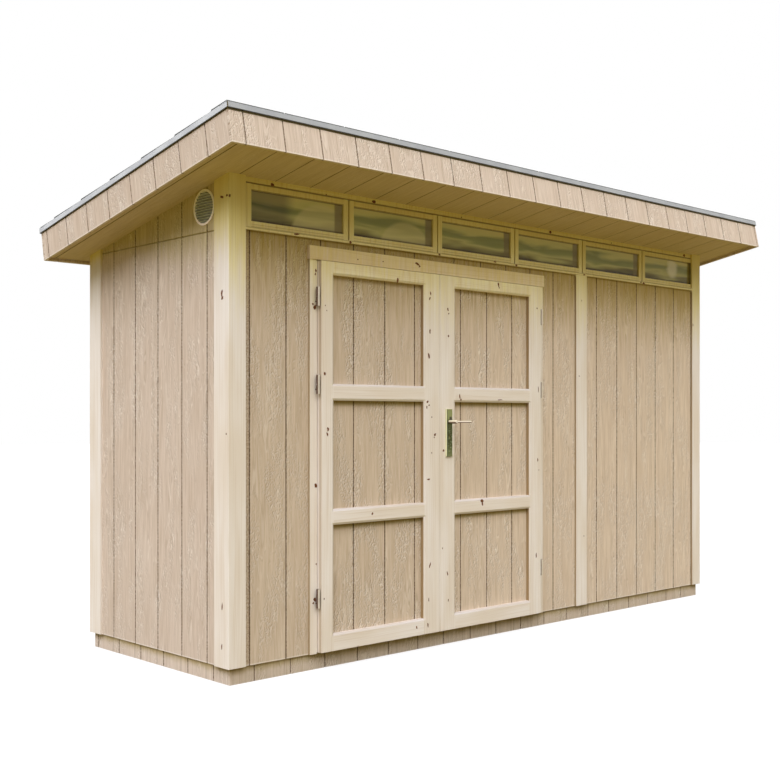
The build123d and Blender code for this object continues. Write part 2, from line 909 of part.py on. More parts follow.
def roof_slab(x_low, x_high, s_low, s_high, w_low, w_high, mode=Mode.ADD):
    """A board square to the slope: X limits, distances down it, and heights above it."""
    with BuildSketch(roof_plane.offset(w_low)) as outline:
        with Locations(((x_low + x_high) / 2, (s_low + s_high) / 2)):
            Rectangle(x_high - x_low, s_high - s_low)
    extrude(outline.sketch, amount=w_high - w_low, mode=mode)


rafter_first = frame_left + rafter_width / 2
rafter_step = (frame_right - frame_left - rafter_width) / (rafter_count - 1)
fly_rafter = fascia_half - fascia_thickness - small_gap - rafter_width / 2
rafter_centres = [rafter_first + index * rafter_step for index in range(rafter_count)]
rafter_start = fascia_thickness + small_gap
rafter_end = slope_length - fascia_thickness - small_gap
with BuildPart() as rafters:
    for centre in rafter_centres + [-fly_rafter, fly_rafter]:
        roof_slab(
            centre - rafter_width / 2,
            centre + rafter_width / 2,
            rafter_start,
            rafter_end,
            rafter_low,
            deck_low,
        )
save(rafters, "rafters")

with BuildPart() as roof_deck:
    roof_slab(-deck_half, deck_half, -deck_proud, deck_end, deck_low, cover_low)
save(roof_deck, "roof_deck")

verge_plane = Plane(
    origin=(-deck_half, roof_front_y, fascia_bottom_z), x_dir=slope_dir, z_dir=(1, 0, 0)
)
course_low = edge_metal_high + cover_base
course_high = course_low + cover_step
butts = [first_course + index * course_pitch for index in range(course_count)]
front_height = course_high - cover_step * (first_course + deck_proud) / course_pitch
profile = [(-deck_proud, cover_low), (-deck_proud, front_height)]
for butt in butts:
    profile += [(butt, course_high), (butt, course_low)]
end_height = course_low + cover_step * (deck_end - butts[-1]) / course_pitch
profile += [(deck_end, end_height), (deck_end, cover_low)]
with BuildPart() as roof_covering:
    with BuildSketch(verge_plane):
        with BuildLine():
            Polyline(*profile, close=True)
        make_face()
    extrude(amount=2 * deck_half)
    with BuildSketch(roof_plane.offset(cover_low)):
        with Locations((0, slope_length / 2)):
            Rectangle(2 * deck_half, deck_end + deck_proud)
            Rectangle(
                2 * (deck_half - edge_metal_flange - small_gap),
                deck_end + deck_proud - 2 * (edge_metal_flange + small_gap),
                mode=Mode.SUBTRACT,
            )
    extrude(amount=edge_metal_sheet, mode=Mode.SUBTRACT)
save(roof_covering, "roof_covering")

flange_low = edge_metal_high - edge_metal_sheet
with BuildPart() as drip_edges:
    for s_leg, s_flange in (
        ((-edge_metal_proud, -deck_proud), (-edge_metal_proud, edge_metal_flange - deck_proud)),
        ((deck_end, metal_end), (deck_end - edge_metal_flange, metal_end)),
    ):
        roof_slab(-metal_half, metal_half, *s_leg, edge_metal_low, edge_metal_high)
        roof_slab(-metal_half, metal_half, *s_flange, flange_low, edge_metal_high)
    for side in (-1, 1):
        x_leg = sorted((side * deck_half, side * metal_half))
        x_flange = sorted((side * (deck_half - edge_metal_flange), side * metal_half))
        roof_slab(
            *x_leg,
            -deck_proud + small_gap,
            deck_end - small_gap,
            edge_metal_low,
            flange_low - small_gap,
        )
        roof_slab(
            *x_leg,
            edge_metal_flange,
            slope_length - edge_metal_flange,
            flange_low - small_gap,
            edge_metal_high,
        )
        roof_slab(
            *x_flange,
            edge_metal_flange,
            slope_length - edge_metal_flange,
            flange_low,
            edge_metal_high,
        )
save(drip_edges, "drip_edges")

fascia_face = Plane(
    origin=(left_x, roof_front_y, fascia_bottom_z),
    x_dir=(1, 0, 0),
    z_dir=(0, -pitch_cos, pitch_sin),
)
fascia_grooves = groove_places(fascia_first_groove, -side_overhang, wall_length + side_overhang)


def long_fascia(name, distance, outward):
    """A grooved fascia board across the roof; outward is 1 at the front and -1 at the back."""
    face = fascia_face.offset(-distance)
    with BuildPart() as board:
        with BuildSketch(face):
            with Locations((wall_length / 2, deck_low / 2)):
                Rectangle(2 * fascia_half, deck_low)
        extrude(amount=-outward * fascia_thickness)
        extrude(
            groove_sketch(face, fascia_grooves, 0, deck_low),
            amount=-outward * groove_depth,
            mode=Mode.SUBTRACT,
        )
    save(board, name)


long_fascia("fascia_front", 0, 1)
long_fascia("fascia_back", slope_length, -1)

side_fascia_start = fascia_thickness + small_gap
side_fascia_length = slope_length - 2 * side_fascia_start
side_fascia_grooves = groove_places(
    side_fascia_first, side_fascia_start, slope_length - side_fascia_start
)
side_fascia_plane = Plane(
    origin=(-fascia_half, roof_front_y, fascia_bottom_z), x_dir=slope_dir, z_dir=(1, 0, 0)
)
with BuildPart() as fascia_sides:
    for x_step, inward in ((0, 1), (2 * fascia_half, -1)):
        face = side_fascia_plane.offset(x_step)
        with BuildSketch(face):
            with Locations((slope_length / 2, deck_low / 2)):
                Rectangle(side_fascia_length, deck_low)
        extrude(amount=inward * fascia_thickness)
        extrude(
            groove_sketch(face, side_fascia_grooves, 0, deck_low),
            amount=inward * groove_depth,
            mode=Mode.SUBTRACT,
        )
save(fascia_sides, "fascia_sides")

soffit_half = fascia_half - fascia_thickness - small_gap
soffit_inner = frame_right
soffit_far = slope_length - fascia_thickness - small_gap
soffit_grooves = [wall_x(place + soffit_groove_shift) for place in fascia_grooves]
with BuildPart() as soffits:
    roof_slab(
        -soffit_half, soffit_half, rafter_start, soffit_front_end, soffit_low, rafter_low
    )
    roof_slab(-soffit_half, soffit_half, soffit_back_start, soffit_far, soffit_low, rafter_low)
    for side in (-1, 1):
        x_low, x_high = sorted((side * (soffit_inner + small_gap), side * soffit_half))
        roof_slab(
            x_low,
            x_high,
            soffit_front_end + small_gap,
            soffit_back_start - small_gap,
            soffit_low,
            rafter_low,
        )
    with BuildSketch(soffit_plane):
        with Locations(*[(place, slope_length / 2) for place in soffit_grooves]):
            Rectangle(soffit_groove_width, slope_length)
    extrude(amount=soffit_groove_depth, mode=Mode.SUBTRACT)
save(soffits, "soffits")


# Round louvred vents high in the side walls
vent_centre = (left_x + trim_thickness, front_y + vent_y, wall_z(vent_height))
vent_plane = Plane(origin=vent_centre, x_dir=(0, -1, 0), z_dir=(-1, 0, 0))
slat_run = (slat_count - 1) * slat_pitch
slat_x = vent_centre[0] + siding_thickness / 2 - vent_flange / 2
vent_bore = vent_hole_radius - vent_tube
with BuildPart() as side_vents:
    for index in range(slat_count):
        slat_z = vent_centre[2] - slat_run / 2 + index * slat_pitch
        with Locations(Location((slat_x, vent_centre[1], slat_z), (0, -slat_tilt, 0))):
            Box(slat_width, 2 * vent_radius, slat_thickness)
    with BuildSketch(vent_plane.offset(vent_flange)):
        RegularPolygon(vent_bore + slat_into_tube, vent_bore_sides)
    extrude(amount=-(vent_flange + siding_thickness), mode=Mode.INTERSECT)
    for radius, depth in ((vent_radius, vent_flange), (vent_hole_radius, -siding_thickness)):
        with BuildSketch(vent_plane):
            Circle(radius)
            RegularPolygon(vent_bore, vent_bore_sides, mode=Mode.SUBTRACT)
        extrude(amount=depth)
    mirror(about=Plane.YZ)
save(side_vents, "side_vents")
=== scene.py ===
import math
import random

import bpy
import bmesh
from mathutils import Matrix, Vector


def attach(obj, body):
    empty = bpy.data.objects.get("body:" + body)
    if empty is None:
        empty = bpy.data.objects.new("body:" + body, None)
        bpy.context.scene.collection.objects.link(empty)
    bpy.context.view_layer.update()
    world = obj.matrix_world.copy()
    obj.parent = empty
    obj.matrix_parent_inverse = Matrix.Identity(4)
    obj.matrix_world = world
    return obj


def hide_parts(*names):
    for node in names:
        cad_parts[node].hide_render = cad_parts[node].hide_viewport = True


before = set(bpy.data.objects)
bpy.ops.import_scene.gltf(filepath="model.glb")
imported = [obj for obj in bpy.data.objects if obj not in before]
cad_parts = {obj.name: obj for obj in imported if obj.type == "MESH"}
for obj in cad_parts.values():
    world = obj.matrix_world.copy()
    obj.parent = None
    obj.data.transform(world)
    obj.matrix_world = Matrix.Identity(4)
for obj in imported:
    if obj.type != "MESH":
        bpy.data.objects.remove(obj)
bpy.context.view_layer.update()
random.seed(11)
print("stage: frame loaded")

# Camera: level, turned about 43 degrees, with the lens worked out from the photograph's own lines
cameraPlace = dict(at=(-4.7512, -4.5972, 1.1691), turn=-43.234, lens=52.79, rise=0.0343)


def makeCamera(place):
    data = bpy.data.cameras.new("shedCamera")
    data.lens = place["lens"]
    data.sensor_width = 36
    data.shift_y = place["rise"]
    data.clip_end = 90
    camera = bpy.data.objects.new("shedCamera", data)
    camera.location = place["at"]
    camera.rotation_euler = (math.radians(90), 0, math.radians(place["turn"]))
    bpy.context.collection.objects.link(camera)
    bpy.context.scene.camera = camera


makeCamera(cameraPlace)


# Shader writing: a socket that does sums, and a tree that makes every node
class Wire:
    def __init__(self, tree, socket):
        self.tree = tree
        self.socket = socket

    def math(self, operation, a, b=0.0):
        return self.tree.node("ShaderNodeMath", dict(operation=operation), {0: a, 1: b})

    def __add__(self, other):
        return self.math("ADD", self, other)

    def __sub__(self, other):
        return self.math("SUBTRACT", self, other)

    def __mul__(self, other):
        return self.math("MULTIPLY", self, other)

    def __truediv__(self, other):
        return self.math("DIVIDE", self, other)

    def __rsub__(self, other):
        return self.math("SUBTRACT", other, self)

    __radd__ = __add__
    __rmul__ = __mul__

    def above(self, other):
        return self.math("GREATER_THAN", self, other)

    def power(self, other):
        return self.math("POWER", self, other)

    def floor(self):
        return self.math("FLOOR", self)

    def fraction(self):
        return self.math("FRACT", self)

    def size(self):
        return self.math("ABSOLUTE", self)

    def between(self, low, high):
        return self.math("MINIMUM", self.math("MAXIMUM", self, low), high)

    def clamp(self):
        return self.between(0.0, 1.0)

    # 0 at the first value, 1 at the second, smooth between them
    def ramp(self, start, end):
        settings = dict(interpolation_type="SMOOTHSTEP", clamp=True)
        return self.tree.node("ShaderNodeMapRange", settings, {0: self, 1: start, 2: end})


class Tree:
    def __init__(self, owner):
        owner.use_nodes = True
        self.owner = owner
        self.nodes = owner.node_tree.nodes
        self.links = owner.node_tree.links
        self.nodes.clear()

    def node(self, kind, settings=None, inputs=None, output=0):
        made = self.nodes.new(kind)
        for key, value in (settings or {}).items():
            if key == "stops":
                while len(made.color_ramp.elements) < len(value):
                    made.color_ramp.elements.new(0.5)
                for element, (position, colour) in zip(made.color_ramp.elements, value):
                    element.position = position
                    element.color = (*colour, 1)
            else:
                setattr(made, key, value)
        for key, value in (inputs or {}).items():
            if isinstance(value, Wire):
                self.links.new(value.socket, made.inputs[key])
            else:
                made.inputs[key].default_value = value
        return Wire(self, made.outputs[output])

    def place(self):
        spot = self.node("ShaderNodeTexCoord", output="Object")
        return [self.node("ShaderNodeSeparateXYZ", None, {0: spot}, axis) for axis in "XYZ"]

    def facing(self):
        way = self.node("ShaderNodeTexCoord", output="Normal")
        return [self.node("ShaderNodeSeparateXYZ", None, {0: way}, axis) for axis in "XYZ"]

    def vector(self, x, y, z=0.0):
        return self.node("ShaderNodeCombineXYZ", None, {0: x, 1: y, 2: z})

    # The vector carries the scale
    def noise(self, vector, detail=2.0, rough=0.5, bend=0.0):
        inputs = {"Vector": vector, "Scale": 1.0, "Detail": detail, "Roughness": rough}
        inputs["Distortion"] = bend
        return self.node("ShaderNodeTexNoise", None, inputs)

    def spots(self, vector, output="Distance"):
        inputs = {"Vector": vector, "Scale": 1.0, "Randomness": 1.0}
        return self.node("ShaderNodeTexVoronoi", dict(voronoi_dimensions="2D"), inputs, output)

    def dice(self, vector):
        return self.node("ShaderNodeTexWhiteNoise", dict(noise_dimensions="2D"), {"Vector": vector})

    def mix(self, factor, a, b, how="MIX"):
        settings = dict(data_type="RGBA", blend_type=how, clamp_factor=True)
        return self.node("ShaderNodeMix", settings, {0: factor, 6: a, 7: b}, 2)

    def bump(self, height, depth, strength):
        inputs = {"Strength": strength, "Distance": depth, "Height": height}
        return self.node("ShaderNodeBump", None, inputs)

    def surface(self, colour, roughness, normal=None, **fixed):
        inputs = {"Base Color": colour, "Roughness": roughness}
        if normal:
            inputs["Normal"] = normal
        inputs.update({key.replace("_", " "): value for key, value in fixed.items()})
        return self.node("ShaderNodeBsdfPrincipled", None, inputs)

    # 1 where the camera sees something itself, or sees it in or through glass
    def seenDirectly(self):
        rays = ("Is Camera Ray", "Is Glossy Ray", "Is Transmission Ray")
        path = [self.node("ShaderNodeLightPath", output=name) for name in rays]
        return (path[0] + path[1] + path[2]).clamp()

    def show(self, shader, kind="ShaderNodeOutputMaterial"):
        end = self.nodes.new(kind)
        self.links.new(shader.socket, end.inputs["Surface"])
        return self.owner


def paint(red, green, blue):  # a colour given 0 to 255, as the renderer wants it
    parts = [part / 255 for part in (red, green, blue)]
    linear = [p / 12.92 if p <= 0.04045 else ((p + 0.055) / 1.055) ** 2.4 for p in parts]
    return (*linear, 1.0)


# Where things are, the same figures as the solids
layout = dict(
    wallLeft=-1.875, wallFront=-0.51989, wallDepth=1.215, wallBase=0.075, pitch=11.09, trim=0.012,
    roofFront=-0.82879, fasciaBottom=2.272, slopeLength=1.65, fasciaHalf=2.077, soffitLow=0.015,
    skirtInset=0.02, leafProud=0.025, panelSetback=0.024,
)
slopeSin = math.sin(math.radians(layout["pitch"]))
slopeCos = math.cos(math.radians(layout["pitch"]))
middleY = layout["wallFront"] + layout["wallDepth"] / 2


# Each face says how far a point lies across the boards, along them, and behind their surface
def frontFace(tree):
    x, y, z = tree.place()
    return x, z, layout["wallDepth"] / 2 - layout["trim"] - (y - middleY).size()


def sideFace(tree):
    x, y, z = tree.place()
    return y, z, -layout["wallLeft"] - layout["trim"] - x.size()


def skirtFace(tree):
    x, y, z = tree.place()
    behindFront = layout["wallDepth"] / 2 - layout["skirtInset"] - (y - middleY).size()
    behindSide = -layout["wallLeft"] - layout["skirtInset"] - x.size()
    onSide = behindFront.above(0.013)
    return x * (1 - onSide) + y * onSide, z, behindFront * (1 - onSide) + behindSide * onSide


def downSlope(y, z):
    return (y - layout["roofFront"]) * slopeCos - (z - layout["fasciaBottom"]) * slopeSin


def aboveSlope(y, z):
    return (y - layout["roofFront"]) * slopeSin + (z - layout["fasciaBottom"]) * slopeCos


def longEdgeFace(tree):
    x, y, z = tree.place()
    down, up = downSlope(y, z), aboveSlope(y, z)
    return x, up, layout["slopeLength"] / 2 - (down - layout["slopeLength"] / 2).size()


def sideEdgeFace(tree):
    x, y, z = tree.place()
    return downSlope(y, z), aboveSlope(y, z), layout["fasciaHalf"] - x.size()


def soffitFace(tree):
    x, y, z = tree.place()
    return x, y, aboveSlope(y, z) - layout["soffitLow"]


def leafPanelFace(tree):
    x, y, z = tree.place()
    return x, z, y - (layout["wallFront"] - layout["leafProud"] + layout["panelSetback"])


def upright(tree):
    x, y, z = tree.place()
    return x + y, z


def lengthways(tree):
    x, y, z = tree.place()
    return z + y, x


def crossways(tree):
    x, y, z = tree.place()
    return x + z, y


# 1 on the line of a groove and 0 away from it; each run has its first groove, its end and its step
def grooveLine(across, runs, near, far):
    lines = []
    for first, last, step in runs:
        count = math.floor((last - first) / step + 0.001)
        ordinal = ((across - first) / step + 0.5).floor().between(0.0, float(count))
        lines.append(1 - (across - first - ordinal * step).size().ramp(near, far))
    return sum(lines).clamp()


# Grooved boards with a pressed-in grain, its relief drawn as painted highlights and painted shadows
boardFinish = dict(
    body=(205, 187, 168), pale=(221, 204, 187), deep=(186, 165, 143), shadowAndFleck=(136, 110, 84),
    highlight=(244, 234, 220), groove=(96, 73, 40), rough=0.82, grooveShare=0.92, grooveReach=0.0045,
    sheetThickness=0.0118, curl=0.6, grain=0.28, foot=None, dusk=None, frayed=None, stripStart=0.37,
    toneRow=3.7, shadowOffset=(0.0036, 0.002), curlScale=(62, 25),
)
grooveStep = 0.2032
wallGrooves = [(layout["wallLeft"] + 0.12, layout["wallLeft"] + 1.25, grooveStep),
               (layout["wallLeft"] + 1.2203 + grooveStep, layout["wallLeft"] + 3.75, grooveStep)]
sideGrooves = [(layout["wallFront"] + 0.1807, layout["wallFront"] + 1.2, grooveStep)]
skirtGrooves = [(layout["wallLeft"] + 0.152, layout["wallLeft"] + 1.25, grooveStep),
                (layout["wallLeft"] + 1.3524, layout["wallLeft"] + 3.49, grooveStep),
                (layout["wallLeft"] + 3.551, layout["wallLeft"] + 3.56, grooveStep),
                (layout["wallFront"] + 0.1435, layout["wallFront"] + 1.18, grooveStep)]
edgeGrooves = [(layout["wallLeft"] - 0.13, layout["wallLeft"] + 3.94, grooveStep)]
verges = [(0.1696, 1.63, grooveStep)]
soffitGrooves = [(layout["wallLeft"] - 0.144, layout["wallLeft"] + 3.93, grooveStep)]
leafStep = 0.203
leafGrooves = [(layout["wallLeft"] + 0.718, layout["wallLeft"] + 1.13, leafStep),
               (layout["wallLeft"] + 1.458, layout["wallLeft"] + 1.87, leafStep)]


def boardMaterial(name, face, runs, eavesShading=None, **changes):
    finish = {**boardFinish, **changes}
    tree = Tree(bpy.data.materials.new(name))
    across, along, behind = face(tree)
    strip = (across / grooveStep + finish["stripStart"]).floor()
    tone = tree.dice(tree.vector(strip, finish["toneRow"]))
    streak = tree.noise(tree.vector(across * 150, along * 5 + tone * 4), 3.0, 0.7)
    broad = tree.noise(tree.vector(across * 42 + tone * 9, along * 3), 3.0, 0.6, 0.4)
    tint = (streak * 0.6 + broad * 0.4).ramp(0.32, 0.68)
    body = tree.mix(tint, paint(*finish["deep"]), paint(*finish["pale"]))
    body = tree.mix(0.3, body, paint(*finish["body"]))
    body = tree.mix(tone * 0.12, body, paint(*finish["deep"]))
    # Painted light on the relief: one pattern sampled twice, a little apart, gives a painted
    # highlight with a painted shadow beside it; grain crests and hollows also get a painted
    # highlight and a painted shadow
    wide, long = finish["curlScale"]
    lift = tree.vector(across * wide + tone * 13, along * long)
    right, down = finish["shadowOffset"]
    cast = tree.vector((across + right) * wide + tone * 13, (along - down) * long)
    curls = [tree.noise(at, 2.0, 0.55, 1.2) for at in (lift, cast)]
    where = tree.noise(tree.vector(across * 8 + tone * 5, along * 2.6), 2.0).ramp(0.44, 0.6)
    light, dark = [(1 - (curl - 0.5).size().ramp(0.004, 0.055)) * where for curl in curls]
    flame = tree.noise(tree.vector(across * 15 + tone * 21, along * 2.2), 2.0, 0.5, 0.5) * 11
    nearby = tree.noise(tree.vector(across * 9 - tone * 7, along * 1.9 + 4), 1.0).ramp(0.44, 0.58)
    crest = (1 - (flame.fraction() - 0.42).size().ramp(0.02, 0.16)) * nearby
    hollow = (1 - (flame.fraction() - 0.62).size().ramp(0.02, 0.15)) * nearby
    shadow = (dark * (1 - light) * finish["curl"] + hollow * finish["grain"] * 0.6).clamp()
    body = tree.mix(shadow, body, paint(*finish["shadowAndFleck"]))
    glint = (light * finish["curl"] + crest * finish["grain"]).clamp()
    body = tree.mix(glint * 0.85, body, paint(*finish["highlight"]))
    if finish["dusk"]:
        body = finish["dusk"](tree, body)
    # Painted shade under the eaves, when given
    if eavesShading:
        body = eavesShading(tree, body)
    rag = tree.noise(tree.vector(across * 90, along * 130), 2.0) - 0.5
    if finish["frayed"]:
        low, high = finish["frayed"]
        band = ((across - low) * (high - across)).above(0.0)
        crumbs = tree.noise(tree.vector(across * 210, along * 150), 3.0, 0.7)
        body = tree.mix(crumbs.ramp(0.46, 0.6) * band * 0.8, body, paint(*finish["shadowAndFleck"]))
    # Groove lines: a darker joint colour, strengthened on the sunk part of the groove as painted
    # shade in the recess
    edge = grooveLine(across + rag * 0.0035, runs, 0.0022, finish["grooveReach"])
    sunk = behind.ramp(0.0003, 0.0012) * (1 - behind.above(finish["sheetThickness"]))
    line = (edge * sunk + edge * 0.35).clamp()
    # Painted highlight: a pale line along the boards' lower edge
    if finish["foot"] is not None:
        lip = 1 - (along - finish["foot"]).ramp(0.003, 0.007)
        body = tree.mix(lip * 0.45, body, paint(*finish["highlight"]))
    body = tree.mix(line * finish["grooveShare"], body, paint(*finish["groove"]))
    height = streak * 0.25 + broad * 0.3 + (light + crest * 0.5) * 0.4 - (dark + hollow * 0.5) * 0.4
    normal = tree.bump(height, 0.0012, 0.7)
    return tree.show(tree.surface(body, finish["rough"], normal, Specular_IOR_Level=0.2))


# Planed softwood: long grain and a few knots, with painted shade on bevels, on upward faces and on
# side faces in corners
pineFinish = dict(
    pale=(234, 225, 214), warm=(225, 212, 194), line=(209, 190, 165), knot=(104, 80, 60),
    halo=(205, 180, 146), rough=0.62, knotsAlong=5.5, knotsAcross=11.0, knotShare=0.05, drips=0.0,
    crease=None, creaseShade=(186, 172, 146), bevelShade=(246, 245, 244), topShade=(230, 229, 234),
    seam=(120, 92, 46), seams=(), dripRise=(1.7, 1.86),
)


def pineMaterial(name, face, shift=0.0, eavesShading=None, **changes):
    finish = {**pineFinish, **changes}
    tree = Tree(bpy.data.materials.new(name))
    across, along = face(tree)
    spot = tree.vector(across * finish["knotsAcross"] + shift, along * finish["knotsAlong"] + shift)
    wobble = tree.noise(tree.vector(across * 120, along * 60 + shift), 2.0) - 0.5
    away = tree.spots(spot) + wobble * 0.05
    luck = tree.node("ShaderNodeSeparateColor", None, {0: tree.spots(spot, "Color")}, 0)
    present = luck.above(1 - finish["knotShare"])
    reach = (luck - (1 - finish["knotShare"])) * 0.2 + 0.022
    knot = (1 - (away / reach).ramp(0.55, 1.0)) * present
    halo = (1 - (away / reach).ramp(0.9, 2.6)) * present
    sway = tree.noise(tree.vector(across * 5, along * 0.9 + shift), 1.0) * 0.05 + halo * 0.006
    rings = tree.noise(tree.vector((across + sway) * 170, along * 1.3 + shift), 3.0, 0.6)
    cloud = tree.noise(tree.vector(across * 9 + shift, along * 1.6), 2.0)
    body = tree.mix(cloud.ramp(0.3, 0.7), paint(*finish["pale"]), paint(*finish["warm"]))
    body = tree.mix(rings.ramp(0.46, 0.72) * 0.5, body, paint(*finish["line"]))
    x, z = tree.place()[::2]
    if finish["drips"]:
        drip = tree.noise(tree.vector(x * 60 + shift, z * 5), 3.0, 0.65).ramp(0.47, 0.66)
        drip = drip * z.ramp(*finish["dripRise"]) * finish["drips"]
        body = tree.mix(drip, body, paint(*finish["halo"]))
    body = tree.mix(halo * 0.4, body, paint(*finish["halo"]))
    body = tree.mix(knot * 0.8, body, paint(*finish["knot"]))
    if finish["seams"]:
        stain = tree.noise(tree.vector(x * 26 + shift, z * 40), 3.0, 0.7)
    for height, reach, share in finish["seams"]:
        away = (z - height).size() + (stain - 0.5) * reach
        body = tree.mix((1 - away.ramp(reach * 0.4, reach)) * share, body, paint(*finish["seam"]))
    # Painted shade under the eaves, when given
    if eavesShading:
        body = eavesShading(tree, body)
    # Painted shade by facing: bevels and upward faces are darkened, and side faces in corners get a
    # painted crease shade
    way = tree.facing()
    sideways, upwards = way[0].size(), way[2]
    slant = sideways.ramp(0.2, 0.4) * (1 - sideways.ramp(0.6, 0.8))
    body = tree.mix(slant, body, paint(*finish["bevelShade"]), "MULTIPLY")
    body = tree.mix(upwards.ramp(0.2, 0.4), body, paint(*finish["topShade"]), "MULTIPLY")
    if finish["crease"]:
        inCorner = sideways.ramp(0.8, 0.95) * finish["crease"](tree)
        body = tree.mix(inCorner, body, paint(*finish["creaseShade"]), "MULTIPLY")
    normal = tree.bump(rings * 0.5 - knot * 0.6, 0.0006, 0.6)
    return tree.show(tree.surface(body, finish["rough"], normal, Specular_IOR_Level=0.25))


# Where side faces get painted corner shade: beside the posts, but not at the shed's corners or the
# windows
shedCorner = (1.865, 1.872)
windowFoot = (1.975, 1.99)
leafEdges = dict(
    hinged=(-1.36, -1.35), meeting=-0.594, meetingReach=(0.006, 0.01), last=0.203, lastReach=0.003,
    proud=(-0.532, -0.524), proudShare=0.55,
)


def besidePosts(tree):
    x, z = tree.place()[::2]
    return (1 - x.size().ramp(*shedCorner)) * (1 - z.ramp(*windowFoot))


# Painted corner shade in the leaves' openings too, and softly on the proud part of the left leaf's
# hinged edge
def insideLeaf(tree):
    x, y = tree.place()[:2]
    beyondHinge = x.ramp(*leafEdges["hinged"])
    offMeeting = (x - leafEdges["meeting"]).size().ramp(*leafEdges["meetingReach"])
    inner = beyondHinge * offMeeting * (leafEdges["last"] - x).ramp(0.0, leafEdges["lastReach"])
    proud = (1 - beyondHinge) * (1 - y.ramp(*leafEdges["proud"]))
    return inner + proud * leafEdges["proudShare"]


# Panes: a green film whose bands, rounded shapes and one bright patch are painted reflections, with
# painted shade at its left end, along its top and bottom and in a band where the post behind shows
paneFinish = dict(
    left=0.13, pitch=0.6025, width=0.5375, foot=2.032, height=0.137, film=0.88, rough=0.1,
    mirror=0.15, slack=0.8, reflectedHills=[(-1.33, 1.99, 0.2), (-0.79, 1.97, 0.2)], reflectedHillTone=(232, 222, 162),
    bands=[(0.0, (92, 80, 42)), (0.14, (140, 132, 72)), (0.32, (206, 202, 130)),
           (0.46, (160, 164, 94)), (0.62, (150, 154, 84)), (0.8, (214, 210, 132)),
           (1.0, (226, 216, 138))],
    reflectedPatch=(1.578, 2.12, 0.07), reflectedPatchTone=(250, 246, 226), shadedPost=(136, 120, 68), edge=(76, 60, 30),
    leftShade=(168, 162, 166), leftShadeEnd=(-1.57, -1.48),
)


def glassMaterial(name, finish):
    tree = Tree(bpy.data.materials.new(name))
    x, z = tree.place()[::2]
    over = (z - finish["foot"]) / finish["height"]
    along = ((x - layout["wallLeft"] - finish["left"]) / finish["pitch"]).fraction()
    along = along * (finish["pitch"] / finish["width"])
    drift = tree.noise(tree.vector(x * 2.1, z * 16), 2.0, 0.5, 0.5) - 0.5
    stops = [(position, paint(*colour)[:3]) for position, colour in finish["bands"]]
    body = tree.node("ShaderNodeValToRGB", dict(stops=stops), {0: over + drift * finish["slack"]})
    # Painted reflections: rounded pale shapes
    for middle, low, reach in finish["reflectedHills"]:
        away = ((x - middle) * (x - middle) + (z - low) * (z - low) * 1.3).power(0.5)
        inside = 1 - away.ramp(reach * 0.88, reach)
        body = tree.mix(inside * 0.5, body, paint(*finish["reflectedHillTone"]))
    # Painted shade towards the left end
    leftShading = (1 - x.ramp(*finish["leftShadeEnd"])) * 0.8
    body = tree.mix(leftShading, body, paint(*finish["leftShade"]), "MULTIPLY")
    # Painted reflection: one bright patch
    middle, low, reach = finish["reflectedPatch"]
    away = ((x - middle) * (x - middle) + (z - low) * (z - low) * 0.6).power(0.5) + drift * 0.08
    body = tree.mix((1 - away.ramp(reach * 0.3, reach)) * 0.8, body, paint(*finish["reflectedPatchTone"]))
    # Painted shade: a dark band at each pane's right end, where the post behind shows, and along the
    # pane's top and bottom edges
    body = tree.mix(along.ramp(0.895, 0.92) * 0.8, body, paint(*finish["shadedPost"]))
    rim = (1 - over.ramp(0.03, 0.1) + over.ramp(0.95, 1.0)).clamp()
    body = tree.mix(rim * 0.75, body, paint(*finish["edge"]))
    fixed = dict(Alpha=finish["film"], IOR=1.45, Specular_IOR_Level=finish["mirror"])
    return tree.show(tree.surface(body, finish["rough"], **fixed))


# Paint-coated sheet metal, lighter where it faces sideways as a painted highlight, with a painted
# shadow along its dark lower lip
metalFinish = dict(cloud=(130, 132, 142), lip=(0.1445, 0.1485), lipShade=(46, 42, 28))


def metalMaterial(name, front, side, rough, metallic):
    tree = Tree(bpy.data.materials.new(name))
    x, y, z = tree.place()
    cloud = tree.noise(tree.vector(x * 9, y * 9, z * 9), 3.0)
    fine = tree.noise(tree.vector(x * 400, y * 400, z * 40), 2.0)
    body = tree.mix(tree.facing()[0].size().ramp(0.6, 0.9), paint(*front), paint(*side))
    body = tree.mix(cloud.ramp(0.3, 0.7) * 0.3, body, paint(*metalFinish["cloud"]))
    lip = 1 - aboveSlope(y, z).ramp(*metalFinish["lip"])
    body = tree.mix(lip, body, paint(*metalFinish["lipShade"]))
    normal = tree.bump(fine, 0.0002, 0.3)
    return tree.show(tree.surface(body, cloud * 0.12 + rough, normal, Metallic=metallic))


# Ironmongery: faces turned to the front take the first colour, side faces the second; on the hinges
# that is a painted highlight in front and painted shade on the sides
def hingeMaterial(name, core, side):
    tree = Tree(bpy.data.materials.new(name))
    x, y, z = tree.place()
    cloud = tree.noise(tree.vector(x * 90, y * 90, z * 60), 3.0)
    front = (0 - tree.facing()[1]).ramp(0.7, 0.97)
    body = tree.mix((front - cloud * 0.25).clamp(), paint(*side), paint(*core))
    normal = tree.bump(cloud, 0.0002, 0.4)
    return tree.show(tree.surface(body, cloud * 0.15 + 0.35, normal, Metallic=0.6))


# Handle plate: its olive tones are a painted reflection of the lawn, with painted sheen bands at its
# top and bottom, painted glints, painted highlights on side and upper faces, and a painted shadow
# above the lever's root; it is darker along its left edge
plateFinish = dict(
    low=0.966, high=1.209, left=1.322, leverShadowAcross=0.03, leverShadowHeight=1.158, dull=(58, 60, 32),
    mid=(84, 86, 50), bright=(134, 136, 86), glint=(150, 156, 116), side=(224, 220, 178),
    spot=(60, 44, 50),
)


